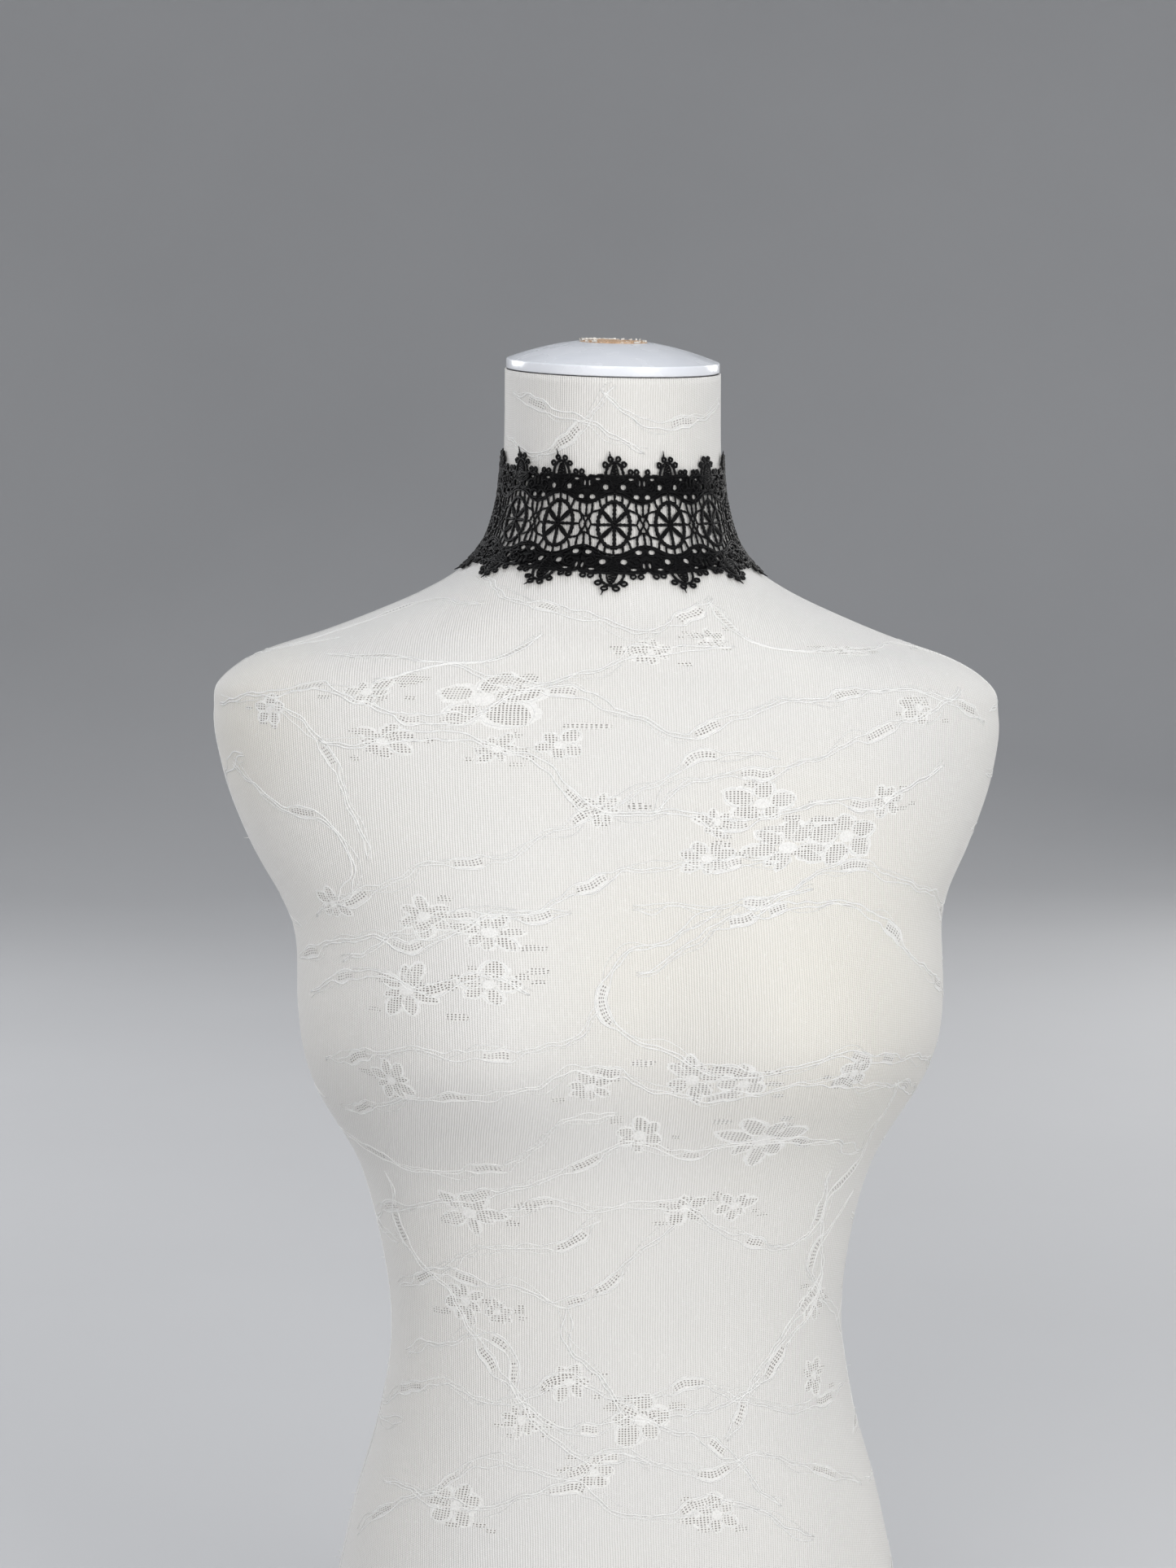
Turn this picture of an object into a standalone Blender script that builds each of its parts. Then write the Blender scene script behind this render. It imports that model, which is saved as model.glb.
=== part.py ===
"""Guipure lace choker worn round the neck of a limbless dress form.

Metres, +Z up, the front faces -Y. The origin is the middle of the form's flat underside.
The form is lofted from horizontal sections. The lace is drawn flat, as u along the neck and
v up it from the middle of its wheels, and is then wrapped on the neck at an even distance.
"""

import math
from collections import namedtuple

import bmesh
import bpy
import numpy as np
from mathutils import Vector
from mathutils.geometry import delaunay_2d_cdt

SEAM = 0.0003  # between pieces that touch on the real one

# Form: height of its horizontal sections, half width, half depth, how far back the section's middle
# lies, and the power of the superellipse (2 is an ellipse, more is squarer).
Section = namedtuple("Section", "z half_width half_depth middle power")
FORM = [
    Section(0.0000, 0.1450, 0.0940, 0.0040, 2.25),
    Section(0.0400, 0.1475, 0.0990, 0.0040, 2.25),
    Section(0.0800, 0.1430, 0.0995, 0.0025, 2.25),
    Section(0.1134, 0.1363, 0.0965, 0.0005, 2.22),
    Section(0.1536, 0.1275, 0.0890, -0.0030, 2.20),
    Section(0.2020, 0.1143, 0.0790, -0.0070, 2.15),
    Section(0.2400, 0.1092, 0.0745, -0.0085, 2.15),
    Section(0.2870, 0.1145, 0.0770, -0.0090, 2.15),
    Section(0.3220, 0.1236, 0.0820, -0.0080, 2.20),
    Section(0.3635, 0.1405, 0.0890, -0.0065, 2.25),
    Section(0.4000, 0.1470, 0.0940, -0.0045, 2.25),
    Section(0.4400, 0.1530, 0.0975, -0.0005, 2.30),
    Section(0.4717, 0.1715, 0.0985, 0.0040, 2.35),
    Section(0.5100, 0.1860, 0.0965, 0.0090, 2.40),
    Section(0.5340, 0.1890, 0.0930, 0.0115, 2.40),
    Section(0.5485, 0.1856, 0.0895, 0.0120, 2.35),
    Section(0.5617, 0.1655, 0.0860, 0.0105, 2.25),
    Section(0.5710, 0.1382, 0.0825, 0.0090, 2.15),
    Section(0.5819, 0.1106, 0.0790, 0.0060, 2.05),
    Section(0.5904, 0.0915, 0.0755, 0.0040, 2.00),
    Section(0.5997, 0.0750, 0.0702, 0.0020, 2.00),
    Section(0.6075, 0.0653, 0.0663, 0.0000, 2.00),
    Section(0.6140, 0.0604, 0.0634, -0.0012, 2.00),
    Section(0.6214, 0.0570, 0.0612, -0.0018, 2.00),
    Section(0.6287, 0.0547, 0.0596, -0.0024, 2.00),
    Section(0.6350, 0.0533, 0.0585, -0.0030, 2.00),
    Section(0.6490, 0.0516, 0.0570, -0.0042, 2.00),
    Section(0.6610, 0.0512, 0.0562, -0.0052, 2.00),
    Section(0.6970, 0.0508, 0.0555, -0.0078, 2.00),
]
FORM_COLUMNS = 48
# Rings of the form between heights, closer where it curves more.
Band = namedtuple("Band", "start rings")
FORM_BANDS = [
    Band(0.0000, 1), Band(0.0030, 1), Band(0.0300, 7), Band(0.3200, 7), Band(0.4230, 5),
    Band(0.5330, 6), Band(0.5850, 9), Band(0.6250, 4), Band(0.6970, 0),
]
BASE_TURN = 0.003  # the underside's edge is turned in by this much

# The neck leans forward, so its sections tip down to the front above the shoulders, and the whole
# shoulder line hangs a little lower at +X.
LEAN_FROM, LEAN_TO = 0.560, 0.697
NECK_LEAN = math.radians(4.3)
DROP_FROM, DROP_TO = 0.44, 0.54
SHOULDER_DROP = math.radians(1.2)

# Each side of the bust is one soft swell, longer above its middle than below.
BUST_X, BUST_Z, BUST_RISE = 0.062, 0.391, 0.037
BUST_INNER, BUST_OUTER, BUST_ABOVE, BUST_BELOW = 0.055, 0.078, 0.074, 0.047

# Neck cap: a shallow dome with a round hole, which a plug fills. Shares are of the neck's half width.
CAP_INSET, CAP_RIM, CAP_ROUND, CAP_DOME = 0.0006, 0.0050, 0.0009, 0.0095
CAP_HOLE_SHARE, CAP_HOLE_DEEP = 0.32, 0.0045
CAP_COLUMNS, CAP_RINGS = 40, 5
PLUG_PROUD, PLUG_CROWN = 0.0006, 0.0002

# Lace: the whole length holds 13 repeats, each with one wheel, and its ends meet at the nape.
REPEATS = 13
LACE_TURN = math.radians(-7.0)  # the front wheel sits this far round from the form's front
LACE_CLEAR = 0.0007  # from the form to the lace's inside
LACE_WALL = 0.0013
WHEEL_Z = 0.6276  # the section of the form that the wheels' middles lie on
SPLIT_AFTER = 6  # repeats in the left piece, and the others are in the right one

# Gaps in one quarter of a wheel as corners (u, v) from the wheel's middle: between the upright and
# the slanting spoke, and between the slanting and the level spoke.
WHEEL_GAPS = (
    ((0.0010, 0.0044), (0.0046, 0.0072), (0.0031, 0.0088), (0.0010, 0.0094)),
    ((0.0037, 0.0010), (0.0067, 0.0010), (0.0065, 0.0036), (0.0054, 0.0052)),
)
# The gap between the crown's leaf and its arch, one side.
CROWN_GAP = ((0.0019, 0.0227), (0.0034, 0.0227), (0.0030, 0.0253), (0.0014, 0.0277), (0.0013, 0.0253))
# Gaps in one quarter of the mesh between two wheels, from its middle: place and half sizes. Each is
# upright with a point at both ends.
MeshGap = namedtuple("MeshGap", "u v half_width half_height")
MESH_GAPS = (
    MeshGap(0.00520, 0.00850, 0.00185, 0.00185),
    MeshGap(0.00155, 0.00660, 0.00125, 0.00250),
    MeshGap(0.00375, 0.00315, 0.00120, 0.00235),
)
INSIDE_WITHOUT_HOLES = 2  # what delaunay_2d_cdt gives back
FULL_WIDTH_TO = 0.45  # a mesh gap has its full width up to this share of its half height

# The lace's edge over half a repeat as points (u, v), from the crown's tip to the middle of the mesh.
EDGE = (
    (0.0000, 0.0290), (0.0010, 0.0313), (0.0028, 0.0313), (0.0035, 0.0294), (0.0044, 0.0289),
    (0.0058, 0.0280), (0.0056, 0.0262), (0.0047, 0.0252), (0.0047, 0.0225), (0.0064, 0.0226),
    (0.0070, 0.0252), (0.0088, 0.0252), (0.0094, 0.0240), (0.0100, 0.0252), (0.0118, 0.0252),
    (0.0123, 0.0227), (0.0136, 0.0214),
)
EDGE_HALF_PITCH, EDGE_HALF_HIGH = EDGE[-1]
CROWN_HALF_WIDE = 0.0060  # a crown keeps its size, and the edge beside it is fitted to the pitch
# Points on the solid border, as a share of the pitch and v, that keep its wall bent round the neck.
BORDER_POINTS = ((0.0, 0.0165), (0.25, 0.0140), (0.3, 0.0190), (0.5, 0.0165))
END_POINTS = 10  # along each straight end of a piece

# Closure at the nape: a tape on each end of the lace, held by three hooks and eyes.
TAPE_WIDE, TAPE_HALF_HIGH, TAPE_WALL = 0.0065, 0.0225, 0.0020
TAPE_GAP = 0.0040  # between the two tapes
CLOSURE = 2 * (SEAM + TAPE_WIDE) + TAPE_GAP
TAPE_COLUMNS, TAPE_ROWS = 3, 10
HOOK_LEVELS = (-0.015, 0.0, 0.015)
WIRE = 0.0004  # radius
WIRE_OFF_TAPE = LACE_CLEAR + TAPE_WALL + SEAM + WIRE
HOOK_RISE = 0.0022  # between the hook's two legs, and the eye's bar lies midway
HOOK_LEG, HOOK_TIP = 0.0045, 0.0022
EYE_LEG, EYE_HALF_WIDE = 0.0040, 0.0016

COLOURS = {
    "lace": ((0.012, 0.012, 0.015), 0.75, 0.0),
    "tape": ((0.010, 0.010, 0.012), 0.6, 0.0),
    "wire": ((0.03, 0.03, 0.035), 0.35, 1.0),
    "cover": ((0.86, 0.85, 0.82), 0.9, 0.0),
    "cap": ((0.88, 0.88, 0.90), 0.25, 0.0),
    "plug": ((0.60, 0.42, 0.28), 0.95, 0.0),
}


def clear_scene():
    for obj in list(bpy.data.objects):
        bpy.data.objects.remove(obj, do_unlink=True)


def material(name):
    """A Principled material of a named colour, roughness and metallic value, made once."""
    made = bpy.data.materials.get(name)
    if made:
        return made
    colour, roughness, metallic = COLOURS[name]
    made = bpy.data.materials.new(name)
    made.use_nodes = True
    shader = made.node_tree.nodes["Principled BSDF"]
    shader.inputs["Base Color"].default_value = (*colour, 1.0)
    shader.inputs["Roughness"].default_value = roughness
    shader.inputs["Metallic"].default_value = metallic
    return made


def add_object(name, data, material_name):
    obj = bpy.data.objects.new(name, data)
    bpy.context.scene.collection.objects.link(obj)
    data.materials.append(material(material_name))
    return obj


def add_mesh(name, points, faces, material_name):
    """One named object from points and faces, all facing out."""
    mesh = bpy.data.meshes.new(name)
    mesh.from_pydata([tuple(p) for p in points], [], faces)
    body = bmesh.new()
    body.from_mesh(mesh)
    bmesh.ops.recalc_face_normals(body, faces=body.faces)
    body.to_mesh(mesh)
    body.free()
    mesh.shade_smooth()
    mesh.set_sharp_from_angle(angle=math.radians(40))
    return add_object(name, mesh, material_name)


# Shape of the form


def smooth(at, places, values):
    """A smooth curve through values at places, read at several places."""
    slopes = np.gradient(values, places)
    i = np.clip(np.searchsorted(places, at) - 1, 0, len(places) - 2)
    step = places[i + 1] - places[i]
    s = np.clip((at - places[i]) / step, 0.0, 1.0)
    return (
        (2 * s**3 - 3 * s**2 + 1) * values[i]
        + (s**3 - 2 * s**2 + s) * step * slopes[i]
        + (3 * s**2 - 2 * s**3) * values[i + 1]
        + (s**3 - s**2) * step * slopes[i + 1]
    )


FORM_ARRAY = np.array(FORM)


def form_points(turn, level):
    """Points on the form's surface: turn is 0 at the front and grows towards +X, level is the section."""
    turn, level = np.broadcast_arrays(np.asarray(turn, float), np.asarray(level, float))
    half_width, half_depth, middle, power = (
        smooth(level, FORM_ARRAY[:, 0], FORM_ARRAY[:, k]) for k in range(1, 5)
    )
    across, along = np.sin(turn), np.cos(turn)
    x = half_width * np.sign(across) * np.abs(across) ** (2 / power)
    y = middle - half_depth * np.sign(along) * np.abs(along) ** (2 / power)
    rise = bust_rise(x, level) * ease(along, -0.05, 0.35)
    x, y = x + rise * across, y - rise * along
    z = level + y * math.tan(NECK_LEAN) * ease(level, LEAN_FROM, LEAN_TO)
    z = z - x * math.tan(SHOULDER_DROP) * ease(level, DROP_FROM, DROP_TO)
    return np.stack([x, y, z], axis=-1)


def ease(at, start, end):
    """0 before start and 1 after end, with a soft change between."""
    share = np.clip((at - start) / (end - start), 0, 1)
    return share * share * (3 - 2 * share)


def bust_rise(x, level):
    """How far the bust stands out at a place across the form."""
    over = level - BUST_Z
    upright = np.exp(-((over / np.where(over > 0, BUST_ABOVE, BUST_BELOW)) ** 2))
    sides = 0
    for side in (-1, 1):
        away = x * side - BUST_X
        sides = sides + np.exp(-((away / np.where(away > 0, BUST_OUTER, BUST_INNER)) ** 2))
    return BUST_RISE * upright * sides


def form_normals(turn, level):
    """Unit normals of the form's surface, pointing out."""
    step_turn, step_level = 1e-4, 1e-5
    by_turn = form_points(turn + step_turn, level) - form_points(turn - step_turn, level)
    by_level = form_points(turn, level + step_level) - form_points(turn, level - step_level)
    normal = np.cross(by_turn, by_level)
    return normal / np.linalg.norm(normal, axis=-1, keepdims=True)


def loft(rings):
    """Points and faces of a closed body from rings of equal length, each end filled with one face."""
    count = len(rings[0])
    points = [p for ring in rings for p in ring]
    faces = []
    for k in range(len(rings) - 1):
        for j in range(count):
            a, b = k * count + j, k * count + (j + 1) % count
            faces.append((a, b, b + count, a + count))
    faces.append(tuple(reversed(range(count))))
    last = (len(rings) - 1) * count
    faces.append(tuple(range(last, last + count)))
    return points, faces


def build_form():
    turns = np.linspace(0, 2 * math.pi, FORM_COLUMNS, endpoint=False)
    levels = [
        band.start + (after.start - band.start) * k / band.rings
        for band, after in zip(FORM_BANDS, FORM_BANDS[1:])
        for k in range(band.rings)
    ]
    rings = [form_points(turns, level) for level in (*levels, FORM_BANDS[-1].start)]
    shrink = 1 - BASE_TURN / FORM[0].half_width
    rings[0] = rings[0] * (shrink, shrink, 0)
    points, faces = loft(rings)
    add_mesh("form_torso", points, faces, "cover")


# Neck cap


def cap_ring(share, rise):
    """A ring round the neck's top, share of its full size, at a rise above its tipped plane."""
    turns = np.linspace(0, 2 * math.pi, CAP_COLUMNS, endpoint=False)
    edge = form_points(turns, LEAN_TO)
    middle = (form_points(0.0, LEAN_TO) + form_points(math.pi, LEAN_TO)) / 2
    up = np.array([math.tan(SHOULDER_DROP), -math.tan(NECK_LEAN), 1.0])
    return middle + (edge - middle) * share + up / np.linalg.norm(up) * rise


def build_cap():
    neck = FORM[-1].half_width
    full = 1 - CAP_INSET / neck
    shoulder = full - CAP_ROUND / neck
    profile = [
        (shoulder, SEAM),
        (full, SEAM + CAP_ROUND),
        (full, SEAM + CAP_RIM - CAP_ROUND),
        (shoulder, SEAM + CAP_RIM),
    ]
    for k in range(1, CAP_RINGS + 1):
        share = shoulder + (CAP_HOLE_SHARE - shoulder) * k / CAP_RINGS
        profile.append((share, SEAM + CAP_RIM + CAP_DOME * (1 - (share / shoulder) ** 2)))
    top = profile[-1][1]
    floor = top - CAP_HOLE_DEEP
    profile.append((CAP_HOLE_SHARE, floor))
    points, faces = loft([cap_ring(*row) for row in profile])
    add_mesh("neck_cap", points, faces, "cap")
    plug_share = CAP_HOLE_SHARE - SEAM / neck
    plug = [
        (plug_share, floor + SEAM),
        (plug_share, top),
        (plug_share * 0.9, top + PLUG_PROUD),
        (plug_share * 0.5, top + PLUG_PROUD + PLUG_CROWN),
    ]
    points, faces = loft([cap_ring(*row) for row in plug])
    add_mesh("cap_plug", points, faces, "plug")


# Wrapping the flat lace on the neck


def lace_frame():
    """Tables that take a place on the flat lace to a turn and a section of the form."""
    turns = np.linspace(-math.pi, math.pi, 361) + LACE_TURN
    middle = form_points(turns, WHEEL_Z) + form_normals(turns, WHEEL_Z) * (LACE_CLEAR + LACE_WALL / 2)
    along = np.concatenate([[0], np.cumsum(np.linalg.norm(np.diff(middle, axis=0), axis=1))])
    round_it = along[-1]
    along = along - np.interp(LACE_TURN, turns, along)
    levels = np.linspace(0.575, 0.680, 106)
    heights = np.linspace(-0.040, 0.040, 81)
    section_at = []
    for turn in turns:
        line = form_points(turn, levels)
        climb = np.concatenate([[0], np.cumsum(np.linalg.norm(np.diff(line, axis=0), axis=1))])
        climb -= np.interp(WHEEL_Z, levels, climb)
        section_at.append(np.interp(heights, climb, levels))
    return turns, along, heights, np.array(section_at), round_it


TURNS, ALONG, HEIGHTS, SECTION_AT, ROUND_IT = lace_frame()
PITCH = (ROUND_IT - CLOSURE) / REPEATS


def wrap(u, v, out):
    """Places on the flat lace, taken to the neck and lifted off the form by out."""
    u, v = np.asarray(u, float), np.asarray(v, float)
    turn = np.interp(u, ALONG, TURNS)
    column = (turn - TURNS[0]) / (TURNS[1] - TURNS[0])
    row = (v - HEIGHTS[0]) / (HEIGHTS[1] - HEIGHTS[0])
    i = np.clip(column.astype(int), 0, len(TURNS) - 2)
    k = np.clip(row.astype(int), 0, len(HEIGHTS) - 2)
    a, b = column - i, row - k
    level = (
        SECTION_AT[i, k] * (1 - a) * (1 - b)
        + SECTION_AT[i + 1, k] * a * (1 - b)
        + SECTION_AT[i, k + 1] * (1 - a) * b
        + SECTION_AT[i + 1, k + 1] * a * b
    )
    out = np.asarray(out, float)[..., None] if np.ndim(out) else out
    return form_points(turn, level) + form_normals(turn, level) * out


# Flat pattern of the lace


def mirrored(outline, side, up):
    """An outline turned over into another quarter, still running the same way round."""
    points = [(x * side, y * up) for x, y in outline]
    return points if side * up > 0 else points[::-1]


def gap_corners(gap):
    """The six corners of a gap in the mesh."""
    w, h, s = gap.half_width, gap.half_height, gap.half_height * FULL_WIDTH_TO
    corners = ((0, -h), (w, -s), (w, s), (0, h), (-w, s), (-w, -s))
    return [(gap.u + x, gap.v + y) for x, y in corners]


def wheel_gaps(middle):
    """The gaps in and above the wheel whose middle is at this u."""
    gaps = []
    for side in (-1, 1):
        for up in (-1, 1):
            for outline in (*WHEEL_GAPS, CROWN_GAP):
                gaps.append([(middle + x, y) for x, y in mirrored(outline, side, up)])
    return gaps


def mesh_gaps(middle, sides=(-1, 1)):
    """The gaps in the mesh about this u, on the sides asked for."""
    gaps = []
    for side in sides:
        for up in (-1, 1):
            for gap in MESH_GAPS:
                gaps.append([(middle + x, y) for x, y in mirrored(gap_corners(gap), side, up)])
    return gaps


def edge_points(first, count, up):
    """The edge of a run of repeats, from left to right, at the top or the bottom."""
    fit = PITCH / 2 / EDGE_HALF_PITCH
    half = [(x * fit if x > CROWN_HALF_WIDE else x, y) for x, y in EDGE]
    line = []
    for k in range(count):
        middle = (first + k) * PITCH
        line += [(middle - x, y * up) for x, y in reversed(half[1:])]
        line += [(middle + x, y * up) for x, y in half[:-1]]
    line.append(((first + count - 0.5) * PITCH, EDGE_HALF_HIGH * up))
    return line


def lace_pattern(first, count, cut_left, cut_right):
    """The outline, gaps and inner points of a run of repeats. cut_left and cut_right say by how much
    each end is drawn in, so that neighbours lie a seam apart."""
    low, high = (first - 0.5) * PITCH, (first + count - 0.5) * PITCH
    ends = [EDGE_HALF_HIGH * (2 * k / (END_POINTS + 1) - 1) for k in range(1, END_POINTS + 1)]
    outline = edge_points(first, count, -1) + [(high, y) for y in ends]
    outline += edge_points(first, count, 1)[::-1] + [(low, y) for y in reversed(ends)]
    outline = [(min(max(x, low + cut_left), high - cut_right), y) for x, y in outline]
    gaps, inner = [], []
    for k in range(count):
        middle = (first + k) * PITCH
        gaps += wheel_gaps(middle)
        if k:
            gaps += mesh_gaps(middle - PITCH / 2)
        for share, height in BORDER_POINTS:
            for side in (-1, 1):
                inner += [(middle + side * share * PITCH, up * height) for up in (-1, 1)]
    return outline, gaps, inner


def triangles_of(outline, gaps, inner):
    """Points and triangles of the flat lace between its outline and its gaps."""
    points, loops = [], []
    for loop in (outline, *gaps):
        loops.append(list(range(len(points), len(points) + len(loop))))
        points += [Vector(p) for p in loop]
    points += [Vector(p) for p in inner]
    found, _, faces, *_ = delaunay_2d_cdt(points, [], loops, INSIDE_WITHOUT_HOLES, 1e-7)
    return np.array([(p.x, p.y) for p in found]), [tuple(f) for f in faces]


def wall_of(flat, triangles, inside, outside):
    """A closed wall: the flat triangles wrapped at two distances from the form, joined at every edge."""
    count = len(flat)
    near = wrap(flat[:, 0], flat[:, 1], inside)
    far = wrap(flat[:, 0], flat[:, 1], outside)
    faces = [tuple(reversed(t)) for t in triangles]
    faces += [tuple(i + count for i in t) for t in triangles]
    edges = {edge for t in triangles for edge in zip(t, (*t[1:], t[0]))}
    faces += [(a, b, b + count, a + count) for a, b in sorted(edges) if (b, a) not in edges]
    return np.concatenate([near, far]), faces


def build_lace():
    first = -(REPEATS // 2)
    runs = (
        ("lace_left", first, SPLIT_AFTER, 0.0, SEAM / 2),
        ("lace_right", first + SPLIT_AFTER, REPEATS - SPLIT_AFTER, SEAM / 2, 0.0),
    )
    split = (first + SPLIT_AFTER - 0.5) * PITCH
    for name, start, count, cut_left, cut_right in runs:
        outline, gaps, inner = lace_pattern(start, count, cut_left, cut_right)
        gaps += mesh_gaps(split, (1 if cut_left else -1,))
        flat, triangles = triangles_of(outline, gaps, inner)
        points, faces = wall_of(flat, triangles, LACE_CLEAR, LACE_CLEAR + LACE_WALL)
        add_mesh(name, points, faces, "lace")


# Closure


def build_tape(name, start, end):
    """A tape on one end of the lace, as a wall of even thickness along the nape."""
    across = np.linspace(start, end, TAPE_COLUMNS + 1)
    up = np.linspace(-TAPE_HALF_HIGH, TAPE_HALF_HIGH, TAPE_ROWS + 1)
    flat = np.array([(u, v) for v in up for u in across])
    width = TAPE_COLUMNS + 1
    quads = [
        (k * width + j, k * width + j + 1, (k + 1) * width + j + 1, (k + 1) * width + j)
        for k in range(TAPE_ROWS)
        for j in range(TAPE_COLUMNS)
    ]
    points, faces = wall_of(flat, quads, LACE_CLEAR, LACE_CLEAR + TAPE_WALL)
    add_mesh(name, points, faces, "tape")


def add_wire(name, places):
    """A bent wire through places given as u, v and the distance from the form."""
    curve = bpy.data.curves.new(name, "CURVE")
    curve.dimensions = "3D"
    curve.bevel_depth = WIRE
    curve.bevel_resolution = 1
    curve.use_fill_caps = True
    places = np.array(places)
    line = wrap(places[:, 0], places[:, 1], places[:, 2])
    spline = curve.splines.new("POLY")
    spline.points.add(len(line) - 1)
    for point, at in zip(spline.points, line):
        point.co = (*at, 1.0)
    add_object(name, curve, "wire")


def half_turn(u, out, radius, steps=6):
    """Points (u, out) on a half circle that bulges towards more u, from its inner to its outer end."""
    angles = [math.pi * (k / steps - 0.5) for k in range(steps + 1)]
    return [(u + radius * math.cos(a), out + radius * math.sin(a)) for a in angles]


def build_closure():
    lace_end = REPEATS * PITCH / 2
    tape_start, tape_end = lace_end + SEAM, lace_end + SEAM + TAPE_WIDE
    build_tape("tape_right", tape_start, tape_end)
    build_tape("tape_left", -tape_end, -tape_start)
    nape = ROUND_IT / 2
    bar_off = WIRE_OFF_TAPE + HOOK_RISE / 2
    for k, level in enumerate(HOOK_LEVELS, 1):
        # The hook is sewn to the right tape; its bend lies over the gap and turns back.
        hook = [
            (nape - HOOK_LEG, WIRE_OFF_TAPE),
            *half_turn(nape, bar_off, HOOK_RISE / 2),
            (nape - HOOK_TIP, WIRE_OFF_TAPE + HOOK_RISE),
        ]
        add_wire(f"hook_{k}", [(past_nape(u), level, out) for u, out in hook])
        # The eye is sewn to the left tape, and its bar lies inside the hook's bend.
        leg = [(nape + EYE_LEG, WIRE_OFF_TAPE), (nape + EYE_LEG / 2, bar_off), (nape, bar_off)]
        low = [(past_nape(u), level - EYE_HALF_WIDE, out) for u, out in leg]
        high = [(past_nape(u), level + EYE_HALF_WIDE, out) for u, out in reversed(leg)]
        add_wire(f"eye_{k}", low + high)


def past_nape(u):
    """A place past the nape, brought back to the other end of the lace."""
    return u - ROUND_IT if u > ROUND_IT / 2 else u


clear_scene()
build_form()
build_cap()
build_lace()
build_closure()
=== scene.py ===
"""Looks of the guipure lace choker on its limbless dress form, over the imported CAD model.

Metres, +Z up, the front faces -Y. Lace is drawn flat in millimetres, as u along the neck and v up
it from the middle of a wheel, and is wrapped on the form by the CAD's own functions.
"""

import math
from collections import namedtuple

import bmesh
import bpy
import numpy as np
from mathutils import Matrix, Vector
from mathutils.geometry import delaunay_2d_cdt


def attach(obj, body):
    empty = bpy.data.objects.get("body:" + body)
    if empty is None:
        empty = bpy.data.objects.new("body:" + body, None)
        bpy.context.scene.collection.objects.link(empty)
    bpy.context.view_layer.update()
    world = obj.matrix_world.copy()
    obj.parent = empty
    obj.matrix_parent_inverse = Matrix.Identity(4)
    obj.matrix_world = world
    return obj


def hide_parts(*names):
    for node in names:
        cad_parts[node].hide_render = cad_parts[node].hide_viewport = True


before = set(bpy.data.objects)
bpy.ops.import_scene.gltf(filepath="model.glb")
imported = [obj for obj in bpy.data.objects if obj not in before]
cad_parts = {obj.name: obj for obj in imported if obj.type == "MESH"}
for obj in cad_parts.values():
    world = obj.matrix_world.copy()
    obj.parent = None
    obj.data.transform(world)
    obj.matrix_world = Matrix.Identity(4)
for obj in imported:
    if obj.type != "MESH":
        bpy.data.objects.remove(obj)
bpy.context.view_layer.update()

MM = 0.001
rng = np.random.default_rng(41)

# Form, as in the CAD: height of its sections, half width, half depth, middle and power.
FORM = np.array([
    (0.0000, 0.1450, 0.0940, 0.0040, 2.25),
    (0.0400, 0.1475, 0.0990, 0.0040, 2.25),
    (0.0800, 0.1430, 0.0995, 0.0025, 2.25),
    (0.1134, 0.1363, 0.0965, 0.0005, 2.22),
    (0.1536, 0.1275, 0.0890, -0.0030, 2.20),
    (0.2020, 0.1143, 0.0790, -0.0070, 2.15),
    (0.2400, 0.1092, 0.0745, -0.0085, 2.15),
    (0.2870, 0.1145, 0.0770, -0.0090, 2.15),
    (0.3220, 0.1236, 0.0820, -0.0080, 2.20),
    (0.3635, 0.1405, 0.0890, -0.0065, 2.25),
    (0.4000, 0.1470, 0.0940, -0.0045, 2.25),
    (0.4400, 0.1530, 0.0975, -0.0005, 2.30),
    (0.4717, 0.1715, 0.0985, 0.0040, 2.35),
    (0.5100, 0.1860, 0.0965, 0.0090, 2.40),
    (0.5340, 0.1890, 0.0930, 0.0115, 2.40),
    (0.5485, 0.1856, 0.0895, 0.0120, 2.35),
    (0.5617, 0.1655, 0.0860, 0.0105, 2.25),
    (0.5710, 0.1382, 0.0825, 0.0090, 2.15),
    (0.5819, 0.1106, 0.0790, 0.0060, 2.05),
    (0.5904, 0.0915, 0.0755, 0.0040, 2.00),
    (0.5997, 0.0750, 0.0702, 0.0020, 2.00),
    (0.6075, 0.0653, 0.0663, 0.0000, 2.00),
    (0.6140, 0.0604, 0.0634, -0.0012, 2.00),
    (0.6214, 0.0570, 0.0612, -0.0018, 2.00),
    (0.6287, 0.0547, 0.0596, -0.0024, 2.00),
    (0.6350, 0.0533, 0.0585, -0.0030, 2.00),
    (0.6490, 0.0516, 0.0570, -0.0042, 2.00),
    (0.6610, 0.0512, 0.0562, -0.0052, 2.00),
    (0.6970, 0.0508, 0.0555, -0.0078, 2.00),
])
LEAN_FROM, LEAN_TO, NECK_LEAN = 0.560, 0.697, math.radians(4.3)
DROP_FROM, DROP_TO, SHOULDER_DROP = 0.44, 0.54, math.radians(1.2)
BUST_X, BUST_Z, BUST_RISE = 0.062, 0.391, 0.037
BUST_INNER, BUST_OUTER, BUST_ABOVE, BUST_BELOW = 0.055, 0.078, 0.074, 0.047

# Closure and lace, as in the CAD.
SEAM = 0.0003
REPEATS, LACE_TURN, WHEEL_Z = 13, math.radians(-7.0), 0.6276
LACE_CLEAR, LACE_WALL = 0.0007, 0.0013
TAPE_WIDE, TAPE_HALF_HIGH, TAPE_WALL, TAPE_GAP = 0.0065, 0.0225, 0.0020, 0.0040
HOOK_LEVELS, HOOK_LEG, EYE_LEG, EYE_HALF_WIDE = (-0.015, 0.0, 0.015), 0.0045, 0.0040, 0.0016

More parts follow.
